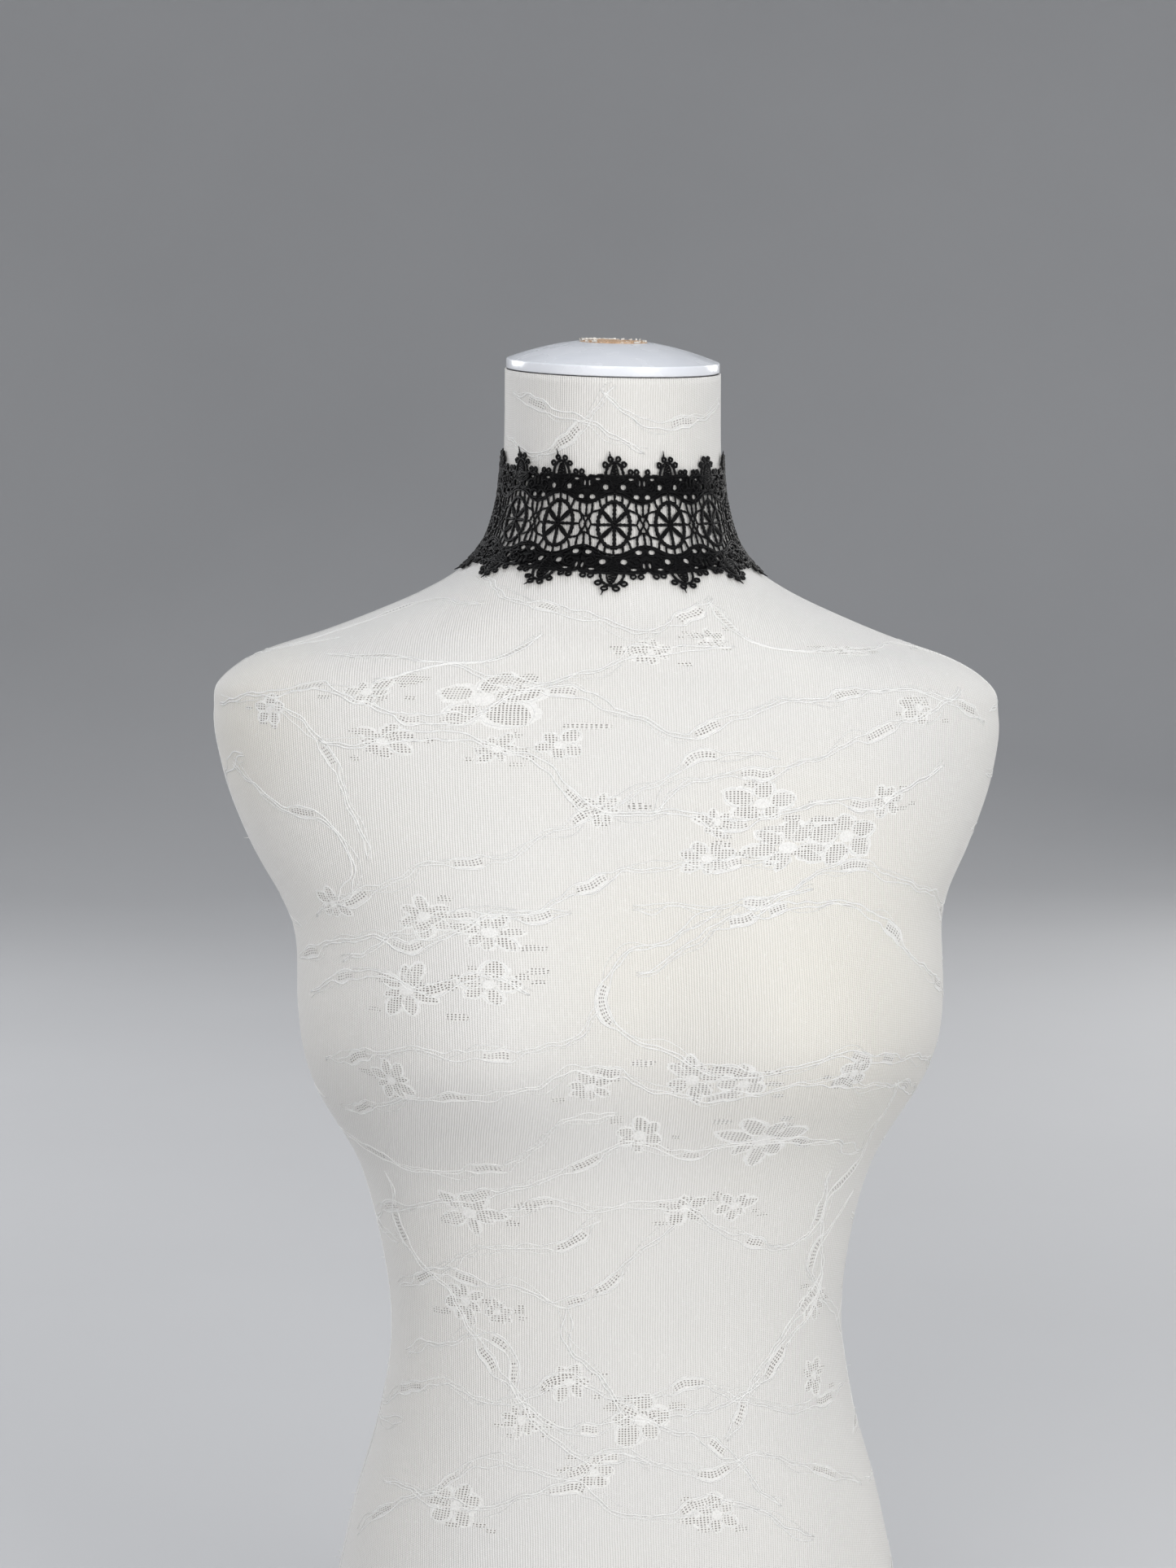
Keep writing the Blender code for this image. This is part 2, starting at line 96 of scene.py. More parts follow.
# Camera, from the photograph.
FRAME_WIDE, FRAME_HIGH, FOCAL = 1445, 1927, 4171
TARGET, CAMERA_AWAY = Vector((-0.0118, 0.0, 0.5)), 1.627
CAMERA_TURN, CAMERA_DOWN, CAMERA_ROLL = math.radians(7), math.radians(6), math.radians(0.3)


# Shape of the form


def smooth(at, places, values):
    """A smooth curve through values at places, read at several places."""
    slopes = np.gradient(values, places)
    i = np.clip(np.searchsorted(places, at) - 1, 0, len(places) - 2)
    step = places[i + 1] - places[i]
    s = np.clip((at - places[i]) / step, 0.0, 1.0)
    return (
        (2 * s**3 - 3 * s**2 + 1) * values[i]
        + (s**3 - 2 * s**2 + s) * step * slopes[i]
        + (3 * s**2 - 2 * s**3) * values[i + 1]
        + (s**3 - s**2) * step * slopes[i + 1]
    )


def ease(at, start, end):
    """0 before start and 1 after end, with a soft change between."""
    share = np.clip((at - start) / (end - start), 0, 1)
    return share * share * (3 - 2 * share)


def bust_rise(x, level):
    """How far the bust stands out at a place across the form."""
    over = level - BUST_Z
    upright = np.exp(-((over / np.where(over > 0, BUST_ABOVE, BUST_BELOW)) ** 2))
    sides = 0
    for side in (-1, 1):
        away = x * side - BUST_X
        sides = sides + np.exp(-((away / np.where(away > 0, BUST_OUTER, BUST_INNER)) ** 2))
    return BUST_RISE * upright * sides


def form_points(turn, level):
    """Points on the form: turn is 0 at the front and grows towards +X, level is the section."""
    turn, level = np.broadcast_arrays(np.asarray(turn, float), np.asarray(level, float))
    half_width, half_depth, middle, power = (smooth(level, FORM[:, 0], FORM[:, k]) for k in range(1, 5))
    across, along = np.sin(turn), np.cos(turn)
    x = half_width * np.sign(across) * np.abs(across) ** (2 / power)
    y = middle - half_depth * np.sign(along) * np.abs(along) ** (2 / power)
    rise = bust_rise(x, level) * ease(along, -0.05, 0.35)
    x, y = x + rise * across, y - rise * along
    z = level + y * math.tan(NECK_LEAN) * ease(level, LEAN_FROM, LEAN_TO)
    z = z - x * math.tan(SHOULDER_DROP) * ease(level, DROP_FROM, DROP_TO)
    return np.stack([x, y, z], axis=-1)


def form_normals(turn, level):
    """Unit normals of the form's surface, pointing out."""
    step_turn, step_level = 1e-4, 1e-5
    by_turn = form_points(turn + step_turn, level) - form_points(turn - step_turn, level)
    by_level = form_points(turn, level + step_level) - form_points(turn, level - step_level)
    return unit(np.cross(by_turn, by_level))


def unit(vectors):
    return vectors / np.maximum(np.linalg.norm(vectors, axis=-1, keepdims=True), 1e-12)


def walked(points, axis=0):
    """How far along a line each of its points is."""
    steps = np.linalg.norm(np.diff(points, axis=axis), axis=-1)
    start = np.zeros_like(np.take(steps, [0], axis=axis))
    return np.concatenate([start, np.cumsum(steps, axis=axis)], axis=axis)


def on_form(turn, level, lift):
    """Points lifted off the form, and the form's normals there."""
    normals = form_normals(turn, level)
    return form_points(turn, level) + normals * lift, normals


def lace_frame():
    """Tables that take a place on the flat lace to a turn and a section of the form."""
    turns = np.linspace(-math.pi, math.pi, 361) + LACE_TURN
    along = walked(on_form(turns, WHEEL_Z, LACE_CLEAR + LACE_WALL / 2)[0])
    round_it = along[-1]
    along = along - np.interp(LACE_TURN, turns, along)
    levels = np.linspace(0.575, 0.680, 106)
    heights = np.linspace(-0.040, 0.040, 81)
    section_at = []
    for turn in turns:
        climb = walked(form_points(turn, levels))
        climb -= np.interp(WHEEL_Z, levels, climb)
        section_at.append(np.interp(heights, climb, levels))
    return turns, along, heights, np.array(section_at), round_it


TURNS, ALONG, HEIGHTS, SECTION_AT, ROUND_IT = lace_frame()
CLOSURE = 2 * (SEAM + TAPE_WIDE) + TAPE_GAP
PITCH = (ROUND_IT - CLOSURE) / REPEATS
HALF = PITCH / 2 / MM  # half a repeat, in millimetres


def on_neck(u, v):
    """Turn and section of places on the flat lace."""
    u, v = np.asarray(u, float), np.asarray(v, float)
    turn = np.interp(u, ALONG, TURNS)
    column = (turn - TURNS[0]) / (TURNS[1] - TURNS[0])
    row = (v - HEIGHTS[0]) / (HEIGHTS[1] - HEIGHTS[0])
    i = np.clip(column.astype(int), 0, len(TURNS) - 2)
    k = np.clip(row.astype(int), 0, len(HEIGHTS) - 2)
    a, b = column - i, row - k
    level = (
        SECTION_AT[i, k] * (1 - a) * (1 - b)
        + SECTION_AT[i + 1, k] * a * (1 - b)
        + SECTION_AT[i, k + 1] * (1 - a) * b
        + SECTION_AT[i + 1, k + 1] * a * b
    )
    return turn, level


def wrap(u, v, out):
    """Places on the flat lace, taken to the neck and lifted off the form by out, and the normals there."""
    return on_form(*on_neck(u, v), np.asarray(out, float)[..., None])


# Mesh making


def pairs(across, up):
    """UV pairs of a grid, from values that stretch over its rows and columns."""
    return np.stack(np.broadcast_arrays(across, up), -1)


class Pile:
    """Points, faces and UVs in metres, gathered for one piece."""

    def __init__(self):
        self.points, self.faces, self.uvs, self.slots, self.count = [], [], [], [], 0

    def add(self, points, faces, uvs, slot=0):
        """faces holds rows of point numbers of one length, uvs a pair for each of their corners."""
        self.points.append(np.asarray(points, float))
        self.faces.append(np.asarray(faces, int) + self.count)
        self.uvs.append(np.asarray(uvs, float))
        self.slots.append(np.full(len(faces), slot))
        self.count += len(points)

    def close(self, faces, uvs=None, slot=0):
        """Faces between points that are in the pile already, numbered from the pile's start."""
        faces = np.asarray(faces)
        uvs = np.zeros((*faces.shape, 2)) if uvs is None else uvs
        self.add(np.zeros((0, 3)), faces - self.count, uvs, slot)

    def grid(self, points, closed, uv, slot=0, flip=False):
        """A grid of points, rows by columns. closed joins the last column to the first. uv holds a
        pair for each point, with one more column where the grid is closed."""
        rows, columns = points.shape[:2]
        wide = columns if closed else columns - 1
        k, j = np.meshgrid(np.arange(rows - 1), np.arange(wide), indexing="ij")
        low, high, j2 = k * columns, (k + 1) * columns, (j + 1) % columns
        faces = np.stack([low + j, low + j2, high + j2, high + j], -1).reshape(-1, 4)
        corners = np.stack([uv[k, j], uv[k, j + 1], uv[k + 1, j + 1], uv[k + 1, j]], -2).reshape(-1, 4, 2)
        if flip:
            faces, corners = faces[:, ::-1], corners[:, ::-1]
        self.add(points.reshape(-1, 3), faces, corners, slot)

    def build(self, name, materials):
        mesh = bpy.data.meshes.new(name)
        points = np.concatenate(self.points)
        sizes = np.concatenate([np.full(len(f), f.shape[1]) for f in self.faces])
        loops = np.concatenate([f.reshape(-1) for f in self.faces])
        starts = np.concatenate([[0], np.cumsum(sizes)[:-1]])
        mesh.vertices.add(len(points))
        mesh.vertices.foreach_set("co", points.reshape(-1))
        mesh.loops.add(len(loops))
        mesh.loops.foreach_set("vertex_index", loops.astype(np.int32))
        mesh.polygons.add(len(sizes))
        mesh.polygons.foreach_set("loop_start", starts.astype(np.int32))
        mesh.polygons.foreach_set("material_index", np.concatenate(self.slots).astype(np.int32))
        layer = mesh.uv_layers.new(name="metres")
        layer.data.foreach_set("uv", np.concatenate([u.reshape(-1) for u in self.uvs]))
        mesh.update(calc_edges=True)
        mesh.validate()
        mesh.shade_smooth()
        obj = bpy.data.objects.new(name, mesh)
        bpy.context.scene.collection.objects.link(obj)
        for made in materials:
            mesh.materials.append(made)
        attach(obj, "root")
        return obj


def solid_of_rings(rings, across, up, flip=False):
    """A pile of closed rings, one after the other, with the first and last filled."""
    pile = Pile()
    pile.grid(rings, True, pairs(across, up[:, None]), flip=flip)
    first = np.arange(rings.shape[1])
    last = first + pile.count - len(first)
    for ring, back in ((first, not flip), (last, flip)):
        pile.close([ring[::-1] if back else ring])
    return pile


def curve_through(points, closed, step):
    """Places a step apart on a smooth curve through the points."""
    p = np.asarray(points, float)
    if len(p) == 2:
        fine = p
    else:
        ends = (p[-1:], p[:2]) if closed else (2 * p[:1] - p[1:2], 2 * p[-1:] - p[-2:-1])
        q = np.concatenate([ends[0], p, ends[1]])
        t = np.linspace(0, 1, 10, endpoint=False)[:, None]
        parts = []
        for a, b, c, d in zip(q, q[1:], q[2:], q[3:]):
            square, cube = 2 * a - 5 * b + 4 * c - d, 3 * b - a - 3 * c + d
            parts.append(0.5 * (2 * b + (c - a) * t + square * t**2 + cube * t**3))
        fine = np.concatenate([*parts, p[:1] if closed else p[-1:]])
    length = walked(fine)
    count = max(8 if closed else 3, round(length[-1] / step) + 1)
    at = np.linspace(0, length[-1], count)
    if closed:
        at = at[:-1]
    return np.stack([np.interp(at, length, fine[:, k]) for k in range(p.shape[1])], -1)


def sweep(
    pile, line, normals, wide, high, closed=False, sides=6, relief=0.0, period=1.9 * MM, slot=0, taper=0.35
):
    """A cord along a line in space, flat against a surface whose normals are given. wide and high are
    half sizes. Its two strands are lobes that turn round it once a period."""
    count = len(line)
    ahead = unit(np.roll(line, -1, 0) - np.roll(line, 1, 0) if closed else np.gradient(line, axis=0))
    across = unit(np.cross(normals, ahead))
    up = np.cross(ahead, across)
    run = walked(np.concatenate([line, line[:1]]))
    if closed and relief:
        period = run[-1] / max(1, round(run[-1] / period))
    angles = np.arange(sides) * 2 * math.pi / sides
    size = 1 + relief * np.cos(2 * angles + run[:count, None] / period * 2 * math.pi)
    if not closed:
        size[[0, -1]] *= taper
    wide, high = (np.broadcast_to(half, (count,))[:, None] for half in (wide, high))
    points = (
        line[:, None, :]
        + across[:, None, :] * (wide * size * np.cos(angles))[..., None]
        + up[:, None, :] * (high * size * np.sin(angles))[..., None]
    )
    if closed:
        points = np.concatenate([points, points[:1]])
    rim = float(np.mean(wide) + np.mean(high)) * math.pi
    pile.grid(points, True, pairs(run[: len(points), None], np.linspace(0, rim, sides + 1)), slot)
    if not closed:
        first, last = pile.count - count * sides, pile.count - sides
        pile.close([np.arange(sides)[::-1] + first, np.arange(sides) + last], slot=slot)


# Materials


class Look:
    """A material in the making. Its methods add nodes, and the last three feed the shader."""

    def __init__(self, name, colour, roughness=0.8, metallic=0.0, specular=0.5, sheen=0.0, coat=0.0):
        self.material = bpy.data.materials.new(name)
        self.material.use_nodes = True
        self.tree = self.material.node_tree
        self.shader = self.tree.nodes["Principled BSDF"]
        self.shader.inputs["Base Color"].default_value = (*colour, 1)
        for key, value in (
            ("Roughness", roughness), ("Metallic", metallic), ("Specular IOR Level", specular),
            ("Sheen Weight", sheen), ("Sheen Roughness", 0.4), ("Coat Weight", coat), ("Coat Roughness", 0.1),
        ):
            self.shader.inputs[key].default_value = value

    def place(self):
        return put(self.tree, "ShaderNodeTexCoord").outputs["Object"]

    def metres(self):
        """The two values of the UV map in metres."""
        uv = put(self.tree, "ShaderNodeUVMap", uv_map="metres").outputs[0]
        parts = put(self.tree, "ShaderNodeSeparateXYZ", {0: uv})
        return parts.outputs[0], parts.outputs[1]

    def math(self, operation, *values):
        return put(self.tree, "ShaderNodeMath", dict(enumerate(values)), operation=operation).outputs[0]

    def times(self, a, b):
        return self.math("MULTIPLY", a, b)

    def scaled(self, a, b, c):
        """a times b, plus c."""
        return self.math("MULTIPLY_ADD", a, b, c)

    def noise(self, scale, detail=2.0, rough=0.5):
        links = {"Vector": self.place(), "Scale": scale, "Detail": detail, "Roughness": rough}
        return put(self.tree, "ShaderNodeTexNoise", links).outputs["Fac"]

    def remap(self, value, low, high, to_low=0.0, to_high=1.0):
        return remap(self.tree, value, low, high, to_low, to_high)

    def mix(self, share, a, b):
        return mix(self.tree, share, a, b)

    def wave(self, value, period, phase=0.0):
        """A sine from 0 to 1 over a value in metres."""
        return self.scaled(self.math("SINE", self.scaled(value, 2 * math.pi / period, phase)), 0.5, 0.5)

    def away(self, spot):
        """Distance from a place."""
        links = {0: self.place(), 1: spot}
        return put(self.tree, "ShaderNodeVectorMath", links, operation="DISTANCE").outputs["Value"]

    def bump(self, height, distance, strength):
        links = {"Height": height, "Distance": distance, "Strength": strength}
        self.tree.links.new(put(self.tree, "ShaderNodeBump", links).outputs[0], self.shader.inputs["Normal"])

    def base(self, share, a, b):
        self.tree.links.new(self.mix(share, a, b), self.shader.inputs["Base Color"])

    def rough(self, value, low, high, to_low, to_high):
        self.tree.links.new(self.remap(value, low, high, to_low, to_high), self.shader.inputs["Roughness"])


def put(tree, kind, links=(), **settings):
    """A node with its settings. links takes an input's name or number to a value or a socket."""
    node = tree.nodes.new(kind)
    for key, value in settings.items():
        setattr(node, key, value)
    for key, value in dict(links).items():
        if isinstance(value, bpy.types.NodeSocket):
            tree.links.new(value, node.inputs[key])
        else:
            node.inputs[key].default_value = value
    return node


def remap(tree, value, low, high, to_low=0.0, to_high=1.0):
    links = {"Value": value, "From Min": low, "From Max": high, "To Min": to_low, "To Max": to_high}
    return put(tree, "ShaderNodeMapRange", links, clamp=True).outputs[0]


def mix(tree, share, a, b):
    """a where share is 0 and b where it is 1, each a socket or a colour."""
    a, b = (value if isinstance(value, bpy.types.NodeSocket) else (*value, 1) for value in (a, b))
    links = {0: share, 6: a, 7: b}
    return put(tree, "ShaderNodeMix", links, data_type="RGBA", clamp_factor=True).outputs[2]


WALE, COURSE = 1.2 * MM, 1.05 * MM
# Places where the cover has yellowed: middle, how far it reaches and how strong.
YELLOWED = (
    ((0.085, -0.11, 0.42), 0.12, 0.34), ((-0.01, -0.10, 0.42), 0.07, 0.2), ((-0.165, -0.02, 0.53), 0.05, 0.4),
)


def thread_material():
    """Black embroidery thread: strands across the cord, fibres in them, glossier patches, and a highlight
    painted onto the strands' crests.
    """
    look = Look("lace_thread", (0.006, 0.006, 0.007), 0.42, specular=0.15)
    along, around = look.metres()
    strand = look.wave(look.scaled(around, 0.8, along), 0.42 * MM)
    fibre, patch = look.noise(5200, 2, 0.6), look.noise(260, 3, 0.55)
    look.bump(look.scaled(fibre, 0.5, strand), 0.09 * MM, 0.8)
    # Painted highlight: the base colour is lighter on the crests of the strands, most in the glossier
    # patches.
    look.base(look.times(strand, patch), (0.0008, 0.0008, 0.001), (0.008, 0.008, 0.0098))
    look.rough(patch, 0.3, 0.7, 0.28, 0.55)
    return look.material


def knit_material():
    """Off-white ribbed knit: light wales with shade painted dark into the holes between them, slub, and
    slight yellowing.
    """
    look = Look("cover_knit", (0.8, 0.79, 0.75), 0.85, specular=0.2, sheen=0.25)
    across, up = look.metres()
    across = look.math("ADD", across, look.remap(look.noise(60, 3), 0.0, 1.0, -0.5 * MM, 0.5 * MM))
    wale = look.wave(across, WALE)
    column = look.math("FLOOR", look.times(across, 1 / WALE))
    course = look.wave(up, COURSE, look.times(column, math.pi * 0.62))
    # Where the holes between the wales are, in dashes along the courses: painted shade goes there.
    shaded_hole = look.times(look.remap(wale, 0.42, 0.08), look.remap(course, 0.25, 0.8, 0.3, 1.0))
    slub = look.noise(900, 2, 0.6)
    look.bump(look.scaled(slub, 0.7, look.scaled(course, 0.25, wale)), 0.22 * MM, 0.75)
    base = look.mix(look.remap(look.noise(7, 3), 0.35, 0.7), (0.715, 0.71, 0.70), (0.75, 0.74, 0.715))
    for spot, wide, strength in YELLOWED:
        base = look.mix(look.remap(look.away(spot), wide, 0.0, 0.0, strength), base, (0.77, 0.72, 0.59))
    # Painted shade: the holes between the wales are darkened.
    base = look.mix(look.times(shaded_hole, 0.55), base, (0.36, 0.34, 0.31))
    look.base(look.remap(slub, 0.58, 0.8, 0, 0.5), base, (0.86, 0.86, 0.85))
    return look.material


def floss_material():
    """White raised threads of the cover's pattern."""
    look = Look("cover_floss", (0.84, 0.84, 0.82), 0.7, specular=0.3, sheen=0.3)
    along, around = look.metres()
    strand = look.wave(look.scaled(around, 1.0, along), 0.9 * MM)
    fleck = look.noise(1500, 2, 0.6)
    look.bump(look.scaled(fleck, 0.8, strand), 0.15 * MM, 0.8)
    look.base(fleck, (0.82, 0.82, 0.805), (0.93, 0.93, 0.92))
    return look.material


def net_material():
    """Openwork of the cover's petals: rows of small holes in white thread, with shade painted dark into them.
    """
    look = Look("cover_net", (0.8, 0.8, 0.78), 0.85, specular=0.2, sheen=0.2)
    across, up = look.metres()
    wander = look.remap(look.noise(300, 2), 0.0, 1.0, -0.35 * MM, 0.35 * MM)
    wale = look.wave(look.math("ADD", across, wander), 1.65 * MM)
    course = look.wave(look.math("ADD", up, wander), 1.1 * MM)
    # Where the holes are; they are sunk by the bump and painted dark as shade.
    shaded_hole = look.remap(look.times(wale, course), 0.30, 0.62)
    look.bump(shaded_hole, -0.3 * MM, 0.8)
    fade = look.remap(look.noise(120, 2), 0.3, 0.65, 0.55, 0.95)
    # Painted shade: the holes are darkened, more in some places than others.
    look.base(look.times(shaded_hole, fade), (0.74, 0.73, 0.71), (0.14, 0.125, 0.11))
    return look.material


def dense_material():
    """Close white stitches that frame the cover's petals and stems."""
    look = Look("cover_dense", (0.82, 0.82, 0.80), 0.85, specular=0.25, sheen=0.3)
    speck = look.noise(1300, 3, 0.7)
    look.bump(speck, 0.3 * MM, 0.9)
    look.base(look.remap(speck, 0.35, 0.6), (0.68, 0.675, 0.66), (0.82, 0.815, 0.80))
    return look.material


def cap_material():
    """Glossy moulded cap, turned in faint rings, with a little dust."""
    look = Look("cap_gloss", (0.80, 0.82, 0.87), 0.22, specular=0.5, coat=0.35)
    ring = look.wave(look.away(CAP_MIDDLE), 2.3 * MM)
    cloud, dust = look.noise(45, 3), look.noise(2300, 2, 0.7)
    look.bump(look.scaled(ring, 0.35, look.times(cloud, 1.5)), 0.05 * MM, 0.35)
    base = look.mix(cloud, (0.74, 0.77, 0.83), (0.82, 0.84, 0.88))
    look.base(look.remap(dust, 0.70, 0.78, 0, 0.55), base, (0.38, 0.36, 0.34))
    look.rough(cloud, 0.3, 0.7, 0.16, 0.34)
    return look.material


def plug_material():
    """Rough end grain of a turned wooden plug."""
    look = Look("plug_wood", (0.60, 0.42, 0.28), 0.9, specular=0.2)
    grain, coarse = look.noise(900, 4, 0.7), look.noise(180, 3, 0.6)
    look.bump(look.scaled(coarse, 1.5, grain), 0.5 * MM, 1.0)
    base = look.mix(look.remap(grain, 0.3, 0.7), (0.30, 0.17, 0.09), (0.72, 0.52, 0.36))
    look.base(look.remap(coarse, 0.55, 0.75, 0, 0.6), base, (0.80, 0.70, 0.60))
    return look.material


def torn_material():
    """Torn white paper at the plug's edge."""
    look = Look("torn_paper", (0.85, 0.84, 0.80), 0.9, specular=0.2)
    speck = look.noise(1500, 3, 0.7)
    look.bump(speck, 0.2 * MM, 0.8)
    look.base(speck, (0.72, 0.68, 0.60), (0.90, 0.89, 0.87))
    return look.material


def tape_material():
    """Black woven tape: crosswise ribs and a fine plain weave."""
    look = Look("tape_weave", (0.01, 0.01, 0.012), 0.7, specular=0.35, sheen=0.2)
    across, up = look.metres()
    weft, warp = look.wave(up, 0.55 * MM), look.wave(across, 0.45 * MM)
    between = look.times(look.math("SUBTRACT", 1.0, weft), look.math("SUBTRACT", 1.0, warp))
    weave = look.math("MAXIMUM", look.times(weft, warp), between)
    look.bump(look.scaled(look.noise(3500, 2, 0.6), 0.4, weave), 0.1 * MM, 0.8)
    look.base(weave, (0.005, 0.005, 0.006), (0.022, 0.022, 0.026))
    return look.material


def wire_material():
    """Black enamelled wire, rubbed to the steel on its high places."""
    look = Look("hook_wire", (0.03, 0.03, 0.035), 0.35, metallic=0.6, specular=0.5)
    rub = look.noise(1400, 3, 0.6)
    look.base(look.remap(rub, 0.55, 0.68), (0.02, 0.02, 0.024), (0.30, 0.29, 0.28))
    look.rough(rub, 0.3, 0.7, 0.25, 0.5)
    look.bump(rub, 0.03 * MM, 0.5)
    return look.material


def board_material():
    """Pressed board of the form's underside."""
    look = Look("form_board", (0.42, 0.33, 0.24), 0.9, specular=0.2)
    flake, fine = look.noise(260, 4, 0.65), look.noise(1600, 2, 0.6)
    look.bump(look.scaled(fine, 0.5, flake), 0.4 * MM, 0.6)
    look.base(look.remap(flake, 0.35, 0.65), (0.30, 0.22, 0.15), (0.52, 0.42, 0.31))
    return look.material


def floor_material():
    look = Look("floor", (0.6, 0.6, 0.61), 0.8, specular=0.2)
    look.base(look.noise(2.0, 3), (0.56, 0.565, 0.575), (0.60, 0.605, 0.615))
    return look.material


# Camera


def make_camera():
    forward = Vector((
        math.sin(CAMERA_TURN) * math.cos(CAMERA_DOWN),
        math.cos(CAMERA_TURN) * math.cos(CAMERA_DOWN),
        -math.sin(CAMERA_DOWN),
    ))
    right = forward.cross(Vector((0, 0, 1))).normalized()
    upward = right.cross(forward)
    turn = Matrix((right, upward, -forward)).transposed() @ Matrix.Rotation(-CAMERA_ROLL, 3, "Z")
    data = bpy.data.cameras.new("camera")
    data.sensor_fit, data.sensor_height = "VERTICAL", 36.0
    data.lens = FOCAL / FRAME_HIGH * data.sensor_height
    data.clip_start, data.clip_end = 0.05, 30
    camera = bpy.data.objects.new("camera", data)
    camera.matrix_world = Matrix.Translation(TARGET - forward * CAMERA_AWAY) @ turn.to_4x4()
    bpy.context.scene.collection.objects.link(camera)
    bpy.context.scene.camera = camera
    return camera


def in_picture(camera, points):
    """Where points fall in the photograph's frame, in its pixels."""
    world = np.array(camera.matrix_world.inverted())
    seen = points @ world[:3, :3].T + world[:3, 3]
    return np.stack([
        FRAME_WIDE / 2 + FOCAL * seen[..., 0] / -seen[..., 2],
        FRAME_HIGH / 2 - FOCAL * seen[..., 1] / -seen[..., 2],
    ], -1)


# Lace. Lengths in this part are millimetres.

Cord = namedtuple("Cord", "points wide high closed relief")
CORD_STEP, CORD_SIDES = 0.46, 6
RING_WIDE, RING_HIGH = 7.45, 10.65
SCALLOP = ((0, 14.75), (3.7, 14.1), (6.7, 12.6), (9.3, 11.1), (HALF, 10.0))
MESH_SIDE = 3.05  # from the mesh's middle to its side knots
MESH_RING = HALF - RING_WIDE  # from the mesh's middle to the rings beside it
EDGE = ((0, 22.6), (4.6, 22.5), (7.0, 22.9), (9.3, 22.4), (11.6, 22.7), (HALF, 21.2))
SPIRAL = (9.35, 17.55)
BORDER_GAPS = (
    # u, v, half width, half height
    (4.3, 17.35, 1.35, 1.3), (10.7, 12.75, 1.45, 1.15), (HALF - 1.2, 19.1, 0.52, 1.3),
    (8.2, 20.9, 1.2, 0.5), (6.75, 16.1, 0.55, 0.55),
)
GROUND_STEP = 1.15
# Picots that are gone: wheel, up and side to their places.
MISSING_PICOTS = {
    (0, 1, -1): (7.8, 10.7), (1, 1, -1): (7.8,), (-4, 1, -1): (7.8,),
    (-2, -1, 1): (10.7,), (3, 1, 1): (10.7,),
}


def cord(points, wide, high=0.55, closed=False, relief=0.16):
    return Cord(points, wide, high, closed, relief)


def oval(u, v, wide, high, count=12, start=0.0, end=1.0):
    """Points round an oval, from start to end as shares of a turn."""
    whole = end - start >= 1
    at = [start + (end - start) * k / (count if whole else count - 1) for k in range(count)]
    return [(u + wide * math.cos(2 * math.pi * a), v + high * math.sin(2 * math.pi * a)) for a in at]


def flipped(items, side, up):
    return [c._replace(points=[(x * side, y * up) for x, y in c.points]) for c in items]


def beside(start, end, places):
    """Points given by their share of the way from start to end, and how far they lie to its left."""
    (x0, y0), (x1, y1) = start, end
    dx, dy = x1 - x0, y1 - y0
    long = math.hypot(dx, dy)
    return [(x0 + dx * s - dy / long * w, y0 + dy * s + dx / long * w) for s, w in places]


def leaf(start, end, half_wide, cord_wide=0.85, vein=True):
    """Two edge cords that bulge from start to end, and a vein between them."""
    bulge = ((0, 0.15), (0.25, 0.8), (0.55, 1.0), (0.85, 0.6), (1.0, 0.05))
    made = []
    for wide in (-half_wide, half_wide):
        made.append(cord(beside(start, end, [(s, wide * b) for s, b in bulge]), cord_wide, 0.6))
    if vein:
        made.append(cord(beside(start, end, [(0, 0), (0.5, 0), (1, 0)]), 0.7, 0.75))
    return made


def satin(start, end, half_wide, gap=0.62):
    """Close stitches laid to and fro across a leaf."""
    count = int(math.dist(start, end) / gap)
    places = []
    for k in range(count + 1):
        wide = half_wide * math.sin(math.pi * (0.08 + 0.84 * k / count)) ** 0.7
        places.append((k / count, wide if k % 2 else -wide))
    return [cord(beside(start, end, places), 0.62, 0.62, relief=0.1)]


def wheel_cords():
    """The wheel, its spokes and the ladder about it, for all four quarters."""
    made = [
        cord(oval(0, 0, RING_WIDE, RING_HIGH, 20), 1.85, 0.8, True, 0.24),
        cord(oval(0, 0, 1.0, 1.0, 10), 1.1, 0.8, True, 0.15),
        cord([(-0.5, 0), (0.5, 0.05)], 1.1, 0.75),
    ]
    for up in (-1, 1):
        made.append(cord([(0, 1.0 * up), (0.05, 5.5 * up), (0, 10.2 * up)], 1.6, 0.68, relief=0.22))
        made.append(cord([(0, 11.0 * up), (0, 14.2 * up)], 1.1, 0.5))
    for side in (-1, 1):
        made.append(cord([(1.0 * side, 0), (4.0 * side, 0.05), (7.2 * side, 0)], 1.4, 0.62, relief=0.22))
        for up in (-1, 1):
            made += flipped(leaf((0.9, 1.0), (6.0, 6.6), 0.72, 0.95), side, up)
            made += flipped([
                cord([(3.75, 9.4), (3.9, 14.0)], 1.1, 0.5),
                cord([(5.9, 7.2), (6.9, 9.6), (7.6, 12.3)], 1.15, 0.5),
            ], side, up)
    return made


def mesh_quarter():
    """Bars between two wheels, in one quarter from the mesh's middle."""
    knot = (MESH_SIDE - 0.25, 5.4)
    return [
        cord([(MESH_SIDE + 0.2, 10.7), (MESH_SIDE + 0.1, 7.9), knot], 1.15, 0.52),
        cord([knot, (1.9, 4.75), (1.05, 3.75), (1.15, 2.65), (0.55, 1.5), (0, 0.5)], 0.95, 0.5),
        cord([(1.2, 4.2), (0.6, 3.85), (0, 3.9)], 0.85, 0.5),
        cord([knot, (4.5, 6.0), (MESH_RING + 1.5, 6.9)], 1.05, 0.5),
        cord([knot, (2.15, 3.9), (1.85, 2.6), (2.4, 1.3), (MESH_SIDE - 0.3, 0)], 0.95, 0.5),
        cord(oval(*knot, 0.36, 0.36, 6), 0.75, 0.7, True, 0.1),
    ]


